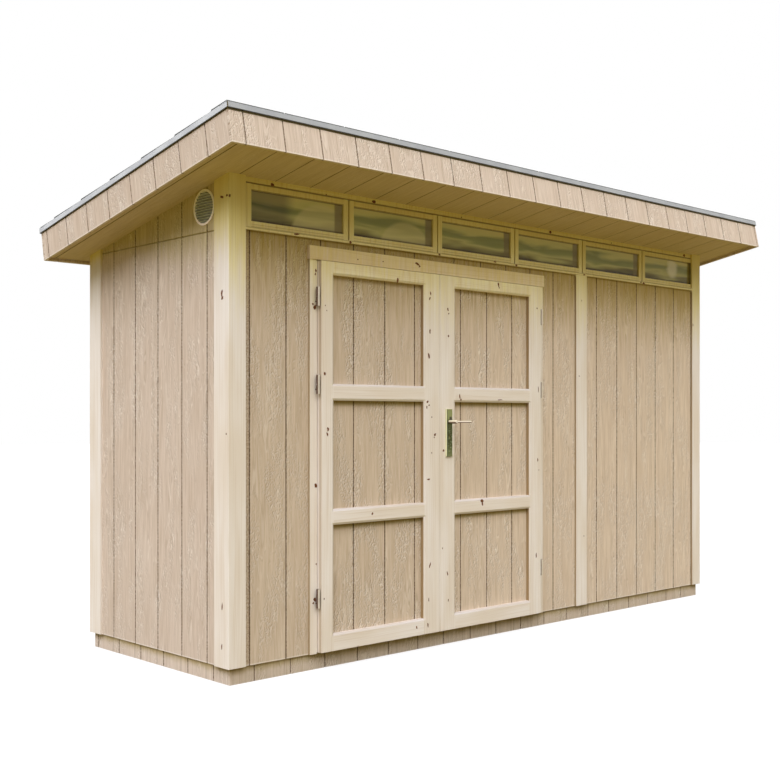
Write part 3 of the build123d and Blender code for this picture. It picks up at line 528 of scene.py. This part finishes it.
def plateMaterial(name, finish):
    tree = Tree(bpy.data.materials.new(name))
    x, y, z = tree.place()
    cloud = tree.noise(tree.vector(x * 70, y * 30, z * 38), 3.0, 0.6)
    fine = tree.noise(tree.vector(x * 500, y * 500, z * 50), 2.0)
    height = (z - finish["low"]) / (finish["high"] - finish["low"])
    body = tree.mix((cloud - 0.5) * 1.6 + 0.4, paint(*finish["dull"]), paint(*finish["mid"]))
    body = tree.mix((1 - height.ramp(0.0, 0.3)) * 0.45, body, paint(*finish["bright"]))
    body = tree.mix(height.ramp(0.74, 0.8), body, paint(*finish["bright"]))
    flecks = tree.noise(tree.vector(x * 120 - z * 60, z * 110), 2.0, 0.6).ramp(0.56, 0.66)
    body = tree.mix(flecks * (1 - height.ramp(0.55, 0.7)) * 0.7, body, paint(*finish["glint"]))
    left = x - layout["wallLeft"] - finish["left"]
    body = tree.mix((1 - left.ramp(0.006, 0.011)) * 0.7, body, paint(*finish["dull"]))
    # Painted shadow: a dark spot just above the lever's root
    beside = (left - finish["leverShadowAcross"]).size().ramp(0.004, 0.013)
    above = (z - finish["leverShadowHeight"]).size().ramp(0.007, 0.014)
    body = tree.mix((1 - beside) * (1 - above) * 0.85, body, paint(*finish["spot"]))
    way = tree.facing()
    rim = (way[0].size().ramp(0.3, 0.7) + way[2].ramp(0.3, 0.7)).clamp()
    body = tree.mix(rim, body, paint(*finish["side"]))
    normal = tree.bump(fine, 0.0002, 0.3)
    return tree.show(tree.surface(body, cloud * 0.15 + 0.24, normal, Metallic=1.0))


# The lever: a bright upper side over its own shade
def leverMaterial(name, lit, shaded):
    tree = Tree(bpy.data.materials.new(name))
    x, y, z = tree.place()
    cloud = tree.noise(tree.vector(x * 60, y * 60, z * 60), 3.0)
    body = tree.mix((tree.facing()[2] + cloud * 0.2).ramp(-0.25, 0.3), paint(*shaded), paint(*lit))
    normal = tree.bump(cloud, 0.0001, 0.4)
    return tree.show(tree.surface(body, cloud * 0.12 + 0.28, normal, Metallic=0.35))


# A round vent: a pale moulded rim, lighter towards its foot as a painted highlight, round grey-green
# slats, each with painted shade along its lower edge
ventFinish = dict(
    centre=(-0.31889, 2.102), inner=0.0705, pitch=0.012, lowest=2.036, rim=(250, 244, 226),
    foot=(255, 240, 226), slat=(214, 216, 190), slatShade=(56, 52, 34),
)


def ventMaterial(name, finish):
    tree = Tree(bpy.data.materials.new(name))
    x, y, z = tree.place()
    right, up = y - finish["centre"][0], z - finish["centre"][1]
    away = (right * right + up * up).power(0.5)
    cloud = tree.noise(tree.vector(x * 90, y * 90, z * 90), 3.0, 0.6)
    step = ((z - finish["lowest"]) / finish["pitch"] + 0.5).fraction()
    slatShadeBand = 1 - (step - 0.3).size().ramp(0.1, 0.24)
    slatShadeMask = (slatShadeBand * 0.9 + (cloud - 0.5) * 0.6).clamp()
    slat = tree.mix(slatShadeMask, paint(*finish["slat"]), paint(*finish["slatShade"]))
    # Painted highlight on the lower part of the rim
    lower = (0 - up).ramp(0.03, 0.07) + (cloud - 0.5) * 0.3
    rim = tree.mix(lower, paint(*finish["rim"]), paint(*finish["foot"]))
    body = tree.mix(away.above(finish["inner"]), slat, rim)
    normal = tree.bump(cloud, 0.0003, 0.4)
    return tree.show(tree.surface(body, 0.5, normal, Specular_IOR_Level=0.3))


def plainMaterial(name, colour, rough, shine, speckle=0.15, scale=260.0):
    tree = Tree(bpy.data.materials.new(name))
    x, y, z = tree.place()
    fine = tree.noise(tree.vector(x * scale, y * scale, z * scale), 2.0)
    broad = tree.noise(tree.vector(x * 5, y * 5, z * 5), 2.0)
    shade = tuple(part * 0.6 for part in paint(*colour)[:3]) + (1.0,)
    body = tree.mix((fine * 0.6 + broad * 0.4).ramp(0.35, 0.7) * speckle * 2, paint(*colour), shade)
    normal = tree.bump(fine, 0.0004, 0.3)
    return tree.show(tree.surface(body, rough, normal, Specular_IOR_Level=shine))


feltFinish = dict(dark=(58, 60, 60), grit=(122, 124, 122), worn=(70, 74, 70))


def feltMaterial(name, finish):
    tree = Tree(bpy.data.materials.new(name))
    x, y, z = tree.place()
    grit = tree.noise(tree.vector(x * 420, y * 420, z * 420), 2.0, 0.7)
    broad = tree.noise(tree.vector(x * 3, y * 3), 3.0)
    body = tree.mix(grit.ramp(0.35, 0.68), paint(*finish["dark"]), paint(*finish["grit"]))
    body = tree.mix(broad.ramp(0.35, 0.7) * 0.35, body, paint(*finish["worn"]))
    normal = tree.bump(grit, 0.0012, 0.9)
    return tree.show(tree.surface(body, 0.92, normal, Specular_IOR_Level=0.2))


chipboardFinish = dict(deep=(176, 138, 92), pale=(214, 182, 132), fleck=(150, 112, 70))


def chipboardMaterial(name, finish):
    tree = Tree(bpy.data.materials.new(name))
    x, y, z = tree.place()
    flat = tree.vector(x * 26, y * 44)
    chip = tree.node("ShaderNodeSeparateColor", None, {0: tree.spots(flat, "Color")}, 0)
    fine = tree.noise(tree.vector(x * 160, y * 60, z * 90), 2.0)
    body = tree.mix(chip, paint(*finish["deep"]), paint(*finish["pale"]))
    body = tree.mix(fine.ramp(0.4, 0.7) * 0.4, body, paint(*finish["fleck"]))
    return tree.show(tree.surface(body, 0.75, tree.bump(chip * 0.5 + fine * 0.5, 0.0006, 0.6)))


# Painted shade under the eaves: wood below the roof's overhang is darkened and yellowed, most
# strongly just under the roof line
eavesShade = dict(
    start=0.107, depth=0.58, sideDepth=0.3, ragged=0.7, share=0.9, rearward=(-0.42, 0.62),
    rearwardCut=0.78, front=(200, 186, 74), side=(238, 238, 184), pine=(255, 249, 163),
)


def paintedEavesShade(tint):
    def shade(tree, body):
        x, y, z = tree.place()
        soffitFront = layout["fasciaBottom"] + layout["soffitLow"]
        ceiling = (layout["roofFront"] - y) * (slopeSin / slopeCos) + soffitFront
        sideways = tree.facing()[0].size().ramp(0.6, 0.9)
        rearward = y.ramp(*eavesShade["rearward"])
        depth = sideways * (eavesShade["sideDepth"] - eavesShade["depth"]) + eavesShade["depth"]
        depth = depth * (1 - rearward * eavesShade["rearwardCut"])
        streaks = tree.noise(tree.vector((x + y) * 55, z * 4), 3.0, 0.65) - 0.5
        below = (ceiling - z - (1 - rearward) * eavesShade["start"]) / depth + streaks * eavesShade["ragged"]
        return tree.mix((1 - below.ramp(0.0, 1.0)) * eavesShade["share"], body, paint(*tint), "MULTIPLY")

    return shade


# The front is a little darker near its left end; the skirt gets painted shade on its front faces and
# a painted shadow along its top, under the walls
dusks = dict(
    leftEnd=(-1.4, 0.7), left=(239, 238, 235), skirtFront=(240, 239, 234), skirtTop=(214, 207, 164),
)


def leftDusk(tree, body):
    x = tree.place()[0]
    return tree.mix(1 - x.ramp(*dusks["leftEnd"]), body, paint(*dusks["left"]), "MULTIPLY")


def skirtDusk(tree, body):
    x, y, z = tree.place()
    ragged = tree.noise(tree.vector((x + y) * 14, z * 20), 2.0) - 0.5
    # Painted shade: front faces a little darker, and a painted shadow along the top under the walls
    toFront = 1 - tree.facing()[0].size().ramp(0.6, 0.9)
    body = tree.mix(toFront, body, paint(*dusks["skirtFront"]), "MULTIPLY")
    top = (z + ragged * 0.03).ramp(0.03, 0.075)
    return tree.mix(top, body, paint(*dusks["skirtTop"]), "MULTIPLY")


# Under each rail of a leaf the panel gets a greenish painted shadow
railShadows = dict(heights=(0.666, 1.245), reach=(0.006, 0.034), share=0.85, tint=(190, 184, 118))


def leafDusk(tree, body):
    body = leftDusk(tree, body)
    z = tree.place()[2]
    for height in railShadows["heights"]:
        near = 1 - (z - height).size().ramp(*railShadows["reach"])
        body = tree.mix(near * railShadows["share"], body, paint(*railShadows["tint"]), "MULTIPLY")
    return body


frontTones = dict(body=(216, 196, 171), pale=(230, 212, 190), deep=(195, 172, 145), dusk=leftDusk)
frontExtras = dict(foot=0.075, frayed=(-1.783, -1.757), **frontTones)
skirtTones = dict(
    body=(211, 194, 176), pale=(227, 211, 195), deep=(192, 172, 151), grooveShare=0.7,
    dusk=skirtDusk,
)
leafTones = {**frontTones, "dusk": leafDusk, "curl": 0.85, "grain": 0.34}
edgeTones = dict(foot=0.0, grooveShare=0.75)
soffitTones = dict(
    body=(208, 189, 152), pale=(219, 201, 165), deep=(194, 172, 132), curl=0.12, grain=0.1,
    sheetThickness=0.0025, grooveReach=0.0042,
)
headTones = dict(pale=(226, 210, 200), warm=(217, 198, 182), line=(202, 177, 154))
leafPine = dict(crease=insideLeaf, creaseShade=(176, 156, 122))
# Height, half width and strength of each dark line: joint lines, except the sash line at 2.1705 just
# over the glass, a painted shadow line of the rebate
trimSeams = [(2.2005, 0.0035, 0.75), (2.0015, 0.0028, 0.5), (1.991, 0.002, 0.4)]
sashSeams = [(2.1965, 0.003, 0.5), (2.1705, 0.0028, 0.65), (2.0065, 0.003, 0.6),
             (2.0185, 0.0022, 0.3)]
# Painted eaves shade for the front boards and doors, the side boards and the pine
frontShade = paintedEavesShade(eavesShade["front"])
sideShade = paintedEavesShade(eavesShade["side"])
pineShade = paintedEavesShade(eavesShade["pine"])
finishes = dict(
    frontBoard=boardMaterial("frontBoard", frontFace, wallGrooves, frontShade, **frontExtras),
    sideBoard=boardMaterial("sideBoard", sideFace, sideGrooves, sideShade, foot=0.075),
    skirtBoard=boardMaterial("skirtBoard", skirtFace, skirtGrooves, **skirtTones),
    leafBoard=boardMaterial("leafBoard", leafPanelFace, leafGrooves, frontShade, **leafTones),
    longEdgeBoard=boardMaterial("longEdgeBoard", longEdgeFace, edgeGrooves, **edgeTones),
    sideEdgeBoard=boardMaterial("sideEdgeBoard", sideEdgeFace, verges, **edgeTones),
    soffitBoard=boardMaterial("soffitBoard", soffitFace, soffitGrooves, **soffitTones),
    postPine=pineMaterial("postPine", upright, 0.0, pineShade, crease=besidePosts),
    stilePine=pineMaterial("stilePine", upright, 3.3, pineShade, **leafPine),
    railPine=pineMaterial("railPine", lengthways, 7.1, pineShade, drips=0.32),
    headPine=pineMaterial("headPine", lengthways, 7.1, pineShade, drips=0.32, **headTones),
    trimPine=pineMaterial("trimPine", lengthways, 7.1, pineShade, drips=0.4, seams=trimSeams),
    sashPine=pineMaterial("sashPine", lengthways, 11.7, pineShade, drips=0.4, seams=sashSeams),
    sashStilePine=pineMaterial("sashStilePine", upright, 11.7, pineShade),
    framingPine=pineMaterial("framingPine", upright, 17.0, knotShare=0.16),
    rafterPine=pineMaterial("rafterPine", crossways, 23.0, knotShare=0.16),
    glass=glassMaterial("paneGlass", paneFinish),
    sheet=chipboardMaterial("strandBoard", chipboardFinish),
    felt=feltMaterial("mineralFelt", feltFinish),
    edgeMetal=metalMaterial("edgeMetal", (168, 170, 170), (208, 211, 214), 0.4, 0.2),
    shadowAndJoint=plainMaterial("shadowAndJointDark", (104, 94, 66), 0.8, 0.1),
    knotDark=plainMaterial("knotDark", (120, 76, 48), 0.8, 0.05, 0.4, 420.0),
    hingeSteel=hingeMaterial("hingeSteel", (232, 222, 198), (92, 66, 50)),
    plateSteel=plateMaterial("plateSteel", plateFinish),
    leverSteel=leverMaterial("leverSteel", (244, 233, 210), (112, 84, 58)),
    ventPlastic=ventMaterial("ventPlastic", ventFinish),
)
print("stage: finishes made")

dressing = dict(
    frontBoard=["front_panel_left", "front_panel_over_door", "front_panel_right", "front_panel_end",
                "back_panels"],
    sideBoard=["left_panel", "left_gable_panel", "right_panel", "right_gable_panel"],
    skirtBoard=["skirt"],
    leafBoard=["left_leaf_panels", "right_leaf_panels"],
    longEdgeBoard=["fascia_front", "fascia_back"],
    sideEdgeBoard=["fascia_sides"],
    soffitBoard=["soffits"],
    postPine=["corner_posts", "mid_posts", "door_jambs", "door_stops"],
    stilePine=["left_leaf_stiles", "right_leaf_stiles"],
    railPine=["left_leaf_rails", "right_leaf_rails"],
    headPine=["door_head"],
    trimPine=["window_trims"],
    sashPine=["window_rails"],
    sashStilePine=["window_stiles"],
    framingPine=["wall_studs", "wall_plates"],
    rafterPine=["rafters", "floor_bearers"],
    glass=["window_panes"],
    sheet=["floor_deck", "roof_deck"],
    felt=["roof_covering"],
    edgeMetal=["drip_edges"],
    hingeSteel=["frame_hinges", "left_leaf_hinges", "right_leaf_hinges"],
    plateSteel=["handle_plates"],
    leverSteel=["door_lever"],
    ventPlastic=["side_vents"],
)


def dress(node, material):
    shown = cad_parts[node]
    for holder in shown.material_slots:
        holder.material = material
    if not shown.material_slots:
        shown.data.materials.append(material)


for finish, nodes in dressing.items():
    for node in nodes:
        dress(node, finishes[finish])
print("stage: solids dressed")


# Pieces of our own: every one is a closed mesh made from points
def slopePoint(x, down, up):
    y = layout["roofFront"] + down * slopeCos + up * slopeSin
    return Vector((x, y, layout["fasciaBottom"] - down * slopeSin + up * slopeCos))


def makePiece(name, mesh, material, body):
    bmesh.ops.recalc_face_normals(mesh, faces=mesh.faces[:])
    data = bpy.data.meshes.new(name)
    mesh.to_mesh(data)
    mesh.free()
    data.materials.append(material)
    piece = bpy.data.objects.new(name, data)
    bpy.context.collection.objects.link(piece)
    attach(piece, body)
    return piece


# Joins rings of points into a closed form, with a cap at each end
def addLoft(mesh, rings):
    made = [[mesh.verts.new(point) for point in ring] for ring in rings]
    count = len(made[0])
    for near, far in zip(made, made[1:]):
        for index in range(count):
            after = (index + 1) % count
            mesh.faces.new((near[index], near[after], far[after], far[index]))
    mesh.faces.new(made[0][::-1])
    mesh.faces.new(made[-1])


# The same outline on the roof's slope at several heights above it
def addSloped(mesh, outline, heights):
    addLoft(mesh, [[slopePoint(x, down, height) for x, down in outline] for height in heights])


# Felt shingles in courses, each lying on the head of the next one down
shingles = dict(
    halfWidth=2.081, start=-0.004, end=1.654, firstButt=0.115, course=0.2775, courses=6,
    lowHeight=0.1705, rise=0.006, floor=0.1692, leastBed=0.0004, bedGap=0.001, thickness=0.0042,
    tab=0.3335, slot=0.007, stagger=(0.12, 0.5), narrowest=0.02, wear=0.0012, cut=0.006,
)


def makeShingles(sizes):
    mesh = bmesh.new()
    butts = [sizes["firstButt"] + index * sizes["course"] for index in range(sizes["courses"])]
    starts = [sizes["start"]] + butts
    ends = butts + [sizes["end"]]
    half, cut = sizes["halfWidth"], sizes["cut"]
    for index, (start, end) in enumerate(zip(starts, ends)):
        full = start if index else end - sizes["course"]

        def height(down):
            return sizes["lowHeight"] + sizes["rise"] * (down - full) / sizes["course"]

        def bedHeight(down):
            return max(height(down) - sizes["thickness"], sizes["floor"] + sizes["leastBed"])

        bedEnd = end - sizes["bedGap"]
        ring = [(-half, start), (half, start), (half, bedEnd), (-half, bedEnd)]
        under = [slopePoint(x, down, sizes["floor"]) for x, down in ring]
        over = [slopePoint(x, down, bedHeight(down)) for x, down in ring]
        addLoft(mesh, [under, over])
        left = -half - sizes["tab"] * sizes["stagger"][index % 2]
        while left < half:
            low = max(left + sizes["slot"] / 2, -half)
            high = min(left + sizes["tab"] - sizes["slot"] / 2, half)
            left += sizes["tab"]
            if high - low < sizes["narrowest"]:
                continue
            butt = end + random.uniform(-sizes["wear"], 0.0)
            outline = [(low, start), (high, start), (high, butt - cut), (high - cut, butt),
                       (low + cut, butt), (low, butt - cut)]
            top = [slopePoint(x, down, height(down)) for x, down in outline]
            inset = [slopePoint(x, down, height(down) - sizes["thickness"]) for x, down in outline]
            addLoft(mesh, [inset, top])
    piece = makePiece("roofShingles", mesh, finishes["felt"], "shed")
    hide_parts("roof_covering")


makeShingles(shingles)
print("stage: roof covered")


# A dark strip under the edge metal as a painted shadow, and the metal's dark corner joint
shadowAndJointSizes = dict(
    low=0.1365, sideLow=0.1392, high=0.1428, proud=0.0012, lap=0.002, inset=0.004,
    cornerOut=0.006, cornerWidth=0.0045, cornerDown=(-0.0068, -0.005), cornerUp=(0.144, 0.168),
)


def makeShadowAndJoint(sizes):
    mesh = bmesh.new()
    half = layout["fasciaHalf"]
    proud = half + sizes["proud"]
    near, far = -sizes["proud"], sizes["lap"]
    front = [(-half, near), (half, near), (half, far), (-half, far)]
    addSloped(mesh, front, (sizes["low"], sizes["high"]))
    near, far = sizes["inset"], layout["slopeLength"] - sizes["inset"]
    for side in (-1, 1):
        inner, outer = side * half, side * proud
        outline = [(inner, near), (outer, near), (outer, far), (inner, far)]
        addSloped(mesh, outline, (sizes["sideLow"], sizes["high"]))
    edge = -half - sizes["cornerOut"]
    inner = edge + sizes["cornerWidth"]
    near, far = sizes["cornerDown"]
    corner = [(edge, near), (inner, near), (inner, far), (edge, far)]
    addSloped(mesh, corner, sizes["cornerUp"])
    makePiece("edgeShadowAndJoint", mesh, finishes["shadowAndJoint"], "shed")


makeShadowAndJoint(shadowAndJointSizes)

# Knots and stains that stand out, each a thin chip in the face of its board: how far across and up
# the wall, its width, its length and its tilt in degrees
knots = dict(
    postSide=[
        (0.048, 2.050, 0.026, 0.010, 12), (0.012, 2.052, 0.012, 0.008, 0),
        (0.050, 1.633, 0.010, 0.026, 0), (0.047, 1.611, 0.012, 0.014, 20),
        (0.048, 0.270, 0.008, 0.026, 8), (0.050, 0.094, 0.006, 0.028, 0),
        (0.018, 1.019, 0.006, 0.007, 0),
    ],
    frontPosts=[
        (0.006, 2.050, 0.010, 0.010, 0), (0.488, 1.769, 0.007, 0.012, 0),
        (0.485, 1.752, 0.006, 0.009, 0), (0.482, 1.600, 0.013, 0.018, 0),
        (0.470, 1.612, 0.008, 0.010, 30), (0.482, 0.250, 0.014, 0.018, 0),
        (0.474, 0.236, 0.010, 0.008, 0), (2.112, 1.685, 0.006, 0.012, 0),
        (3.666, 1.690, 0.006, 0.016, 0), (0.377, 1.9235, 0.024, 0.009, 0),
        (1.729, 1.9235, 0.018, 0.008, 0), (3.080, 1.9235, 0.016, 0.008, 0),
        (2.505, 0.400, 0.005, 0.006, 0), (2.462, 1.330, 0.005, 0.007, 0),
        (0.700, 1.921, 0.014, 0.009, 0), (1.303, 1.921, 0.012, 0.008, 0),
        (1.905, 1.921, 0.013, 0.009, 0), (2.508, 1.921, 0.012, 0.008, 0),
        (3.110, 1.919, 0.020, 0.012, 0), (0.488, 0.775, 0.011, 0.018, 20),
        (0.490, 0.414, 0.005, 0.008, 0),
    ],
    head=[
        (1.140, 1.857, 0.028, 0.009, -15), (1.155, 1.846, 0.012, 0.006, 20),
        (0.742, 1.842, 0.006, 0.006, 0), (0.905, 1.848, 0.006, 0.005, 0),
    ],
    strip=[
        (0.247, 2.133, 0.020, 0.012, 0), (0.862, 2.136, 0.024, 0.014, 0),
        (2.214, 2.138, 0.020, 0.012, 0), (3.579, 2.138, 0.018, 0.012, 0),
        (0.560, 2.130, 0.006, 0.006, 0), (1.480, 2.134, 0.007, 0.006, 0),
        (2.790, 2.136, 0.008, 0.006, 0),
    ],
    leftLeaf=[
        (0.987, 1.764, 0.009, 0.024, 0), (1.214, 1.714, 0.007, 0.016, 20),
        (1.208, 1.688, 0.006, 0.018, -25), (1.210, 1.522, 0.007, 0.018, 0),
        (1.202, 1.400, 0.008, 0.024, 12), (1.192, 1.168, 0.013, 0.009, 40),
        (1.204, 1.152, 0.008, 0.007, 0), (1.188, 1.142, 0.006, 0.012, 0),
        (1.222, 1.092, 0.006, 0.008, 0), (1.246, 1.004, 0.013, 0.009, 30),
        (1.240, 0.990, 0.007, 0.006, 0), (1.222, 0.912, 0.005, 0.007, 0),
        (1.198, 0.780, 0.022, 0.007, 0), (0.540, 1.036, 0.009, 0.016, 0),
        (0.536, 1.014, 0.007, 0.014, 15), (0.524, 1.608, 0.005, 0.006, 0),
        (0.521, 1.294, 0.010, 0.012, 0), (0.533, 1.585, 0.004, 0.005, 0),
        (1.210, 0.349, 0.007, 0.022, -15), (1.201, 0.174, 0.005, 0.020, 0),
        (1.195, 0.049, 0.008, 0.018, 10), (1.116, 0.046, 0.008, 0.012, 20),
        (0.818, 0.629, 0.008, 0.012, 0), (0.517, 0.254, 0.005, 0.010, 0),
    ],
    rightLeaf=[
        (1.340, 1.642, 0.007, 0.019, 15), (1.346, 1.622, 0.006, 0.007, 0),
        (1.344, 1.506, 0.007, 0.013, 0), (1.428, 1.200, 0.007, 0.022, 10),
        (1.436, 1.182, 0.010, 0.008, 0), (1.728, 1.800, 0.010, 0.020, 0),
        (1.734, 1.784, 0.006, 0.010, 0), (2.050, 1.694, 0.006, 0.008, 0),
        (1.598, 0.652, 0.017, 0.012, 0), (1.600, 0.636, 0.010, 0.016, 0),
        (1.308, 0.922, 0.011, 0.013, 0), (1.740, 1.1845, 0.030, 0.005, 0),
        (2.062, 1.244, 0.005, 0.032, 0), (2.056, 0.856, 0.007, 0.014, 0),
        (2.066, 0.800, 0.004, 0.006, 0), (1.336, 0.293, 0.007, 0.018, 15),
        (1.342, 0.158, 0.005, 0.014, 0), (1.300, 0.426, 0.004, 0.008, 0),
        (2.043, 0.330, 0.008, 0.022, 0),
    ],
)
knotPlaces = dict(
    postSide=("shed", "trim"), frontPosts=("shed", "trim"), head=("shed", "trim"),
    strip=("shed", "trim"),
    leftLeaf=("left_leaf", "door_pine"), rightLeaf=("right_leaf", "door_pine"),
)
knotFaces = dict(frontPosts=0.0, head=-0.006, strip=0.012, leftLeaf=-0.025, rightLeaf=-0.025)
knotShape = dict(growth=1.4, sides=9, reach=(0.55, 1.15), depths=(0.001, -0.0003))


def makeKnots(where, places, body, slot):
    mesh = bmesh.new()
    for across, height, width, length, tilt in places:
        turn = math.radians(tilt)
        ring = []
        for step in range(knotShape["sides"]):
            angle = math.tau * step / knotShape["sides"]
            reach = random.uniform(*knotShape["reach"]) * knotShape["growth"]
            right = math.cos(angle) * width / 2 * reach
            up = math.sin(angle) * length / 2 * reach
            turned = right * math.cos(turn) - up * math.sin(turn)
            ring.append((turned, right * math.sin(turn) + up * math.cos(turn)))
        rings = []
        middle = layout["wallBase"] + height
        for sink in knotShape["depths"]:
            if where == "postSide":
                start = layout["wallFront"] + across
                side = layout["wallLeft"] + sink
                rings.append([(side, start + right, middle + up) for right, up in ring])
            else:
                start = layout["wallLeft"] + across
                face = layout["wallFront"] + knotFaces[where] + sink
                rings.append([(start + right, face, middle + up) for right, up in ring])
        addLoft(mesh, rings)
    makePiece("knots_" + where, mesh, finishes["knotDark"], body)


for where, places in knots.items():
    makeKnots(where, places, *knotPlaces[where])
print("stage: gaps and knots made")


# Weather strips that fill most of the gaps beside the left leaf and between the leaves
seals = dict(
    low=0.0815, high=1.8885, bevel=0.0008,
    jamb=(-1.382, -1.3775, -0.5185, -0.505), meeting=(-0.5955, -0.5900, -0.5440, -0.530),
)


def makeSeal(name, place, body):
    left, right, front, back = place
    mesh = bmesh.new()
    bevel = seals["bevel"]
    outline = [(left, back), (left, front + bevel), (left + bevel, front), (right - bevel, front),
               (right, front + bevel), (right, back)]
    heights = (seals["low"], seals["high"])
    addLoft(mesh, [[(x, y, height) for x, y in outline] for height in heights])
    makePiece(name, mesh, finishes["stilePine"], body)


makeSeal("jambStrip", seals["jamb"], "shed")
makeSeal("meetingStrip", seals["meeting"], "right_leaf")
print("stage: weather strips made")


# Ground and light: the ground is white to look at, and throws back a warm green light
stageLight = dict(
    ground=(0.172, 0.13, 0.023, 1.0), groundReach=40.0, shadowShare=0.25, dome=2.1, low=0.12,
    sunAngle=45,
    suns=dict(softSunLeft=dict(power=2.42, at=(-0.85, -0.30, 1.0), colour=(0.97, 1.0, 1.15)),
              softSunFront=dict(power=1.02, at=(-0.10, -0.90, 1.0), colour=(1.0, 1.0, 1.0))),
)


def makeGround(light):
    mesh = bpy.data.meshes.new("groundSheet")
    reach = light["groundReach"]
    corners = [(-reach, -reach, 0), (reach, -reach, 0), (reach, reach, 0), (-reach, reach, 0)]
    mesh.from_pydata(corners, [], [(0, 1, 2, 3)])
    ground = bpy.data.objects.new("groundSheet", mesh)
    bpy.context.collection.objects.link(ground)
    tree = Tree(bpy.data.materials.new("groundSheet"))
    seen = tree.seenDirectly()
    white = tree.node("ShaderNodeEmission", None, {"Color": (1, 1, 1, 1), "Strength": 1.0})
    pale = tree.node("ShaderNodeBsdfDiffuse", None, {"Color": (0.9, 0.9, 0.9, 1)})
    bounce = tree.node("ShaderNodeBsdfDiffuse", None, {"Color": light["ground"]})
    looks = tree.node("ShaderNodeMixShader", None, {0: light["shadowShare"], 1: white, 2: pale})
    shown = tree.node("ShaderNodeMixShader", None, {0: seen, 1: bounce, 2: looks})
    mesh.materials.append(tree.show(shown))


def makeSky(light):
    world = bpy.data.worlds.new("paleSky")
    bpy.context.scene.world = world
    tree = Tree(world)
    seen = tree.seenDirectly()
    way = tree.node("ShaderNodeTexCoord", output="Generated")
    height = tree.node("ShaderNodeSeparateXYZ", None, {0: way}, "Z").clamp()
    glow = tree.mix(height * height, (light["low"],) * 3 + (1,), (1, 1, 1, 1))
    dome = tree.node("ShaderNodeBackground", None, {"Color": glow, "Strength": light["dome"]})
    white = tree.node("ShaderNodeBackground", None, {"Color": (1, 1, 1, 1), "Strength": 1.0})
    shown = tree.node("ShaderNodeMixShader", None, {0: seen, 1: dome, 2: white})
    tree.show(shown, "ShaderNodeOutputWorld")
    for name, sun in light["suns"].items():
        lamp = bpy.data.lights.new(name, "SUN")
        lamp.energy = sun["power"]
        lamp.angle = math.radians(light["sunAngle"])
        lamp.color = sun["colour"]
        holder = bpy.data.objects.new(name, lamp)
        holder.rotation_euler = Vector(sun["at"]).to_track_quat("Z", "Y").to_euler()
        bpy.context.collection.objects.link(holder)


makeGround(stageLight)
makeSky(stageLight)
bpy.context.scene.view_settings.view_transform = "Standard"
print("stage: ground and light set")
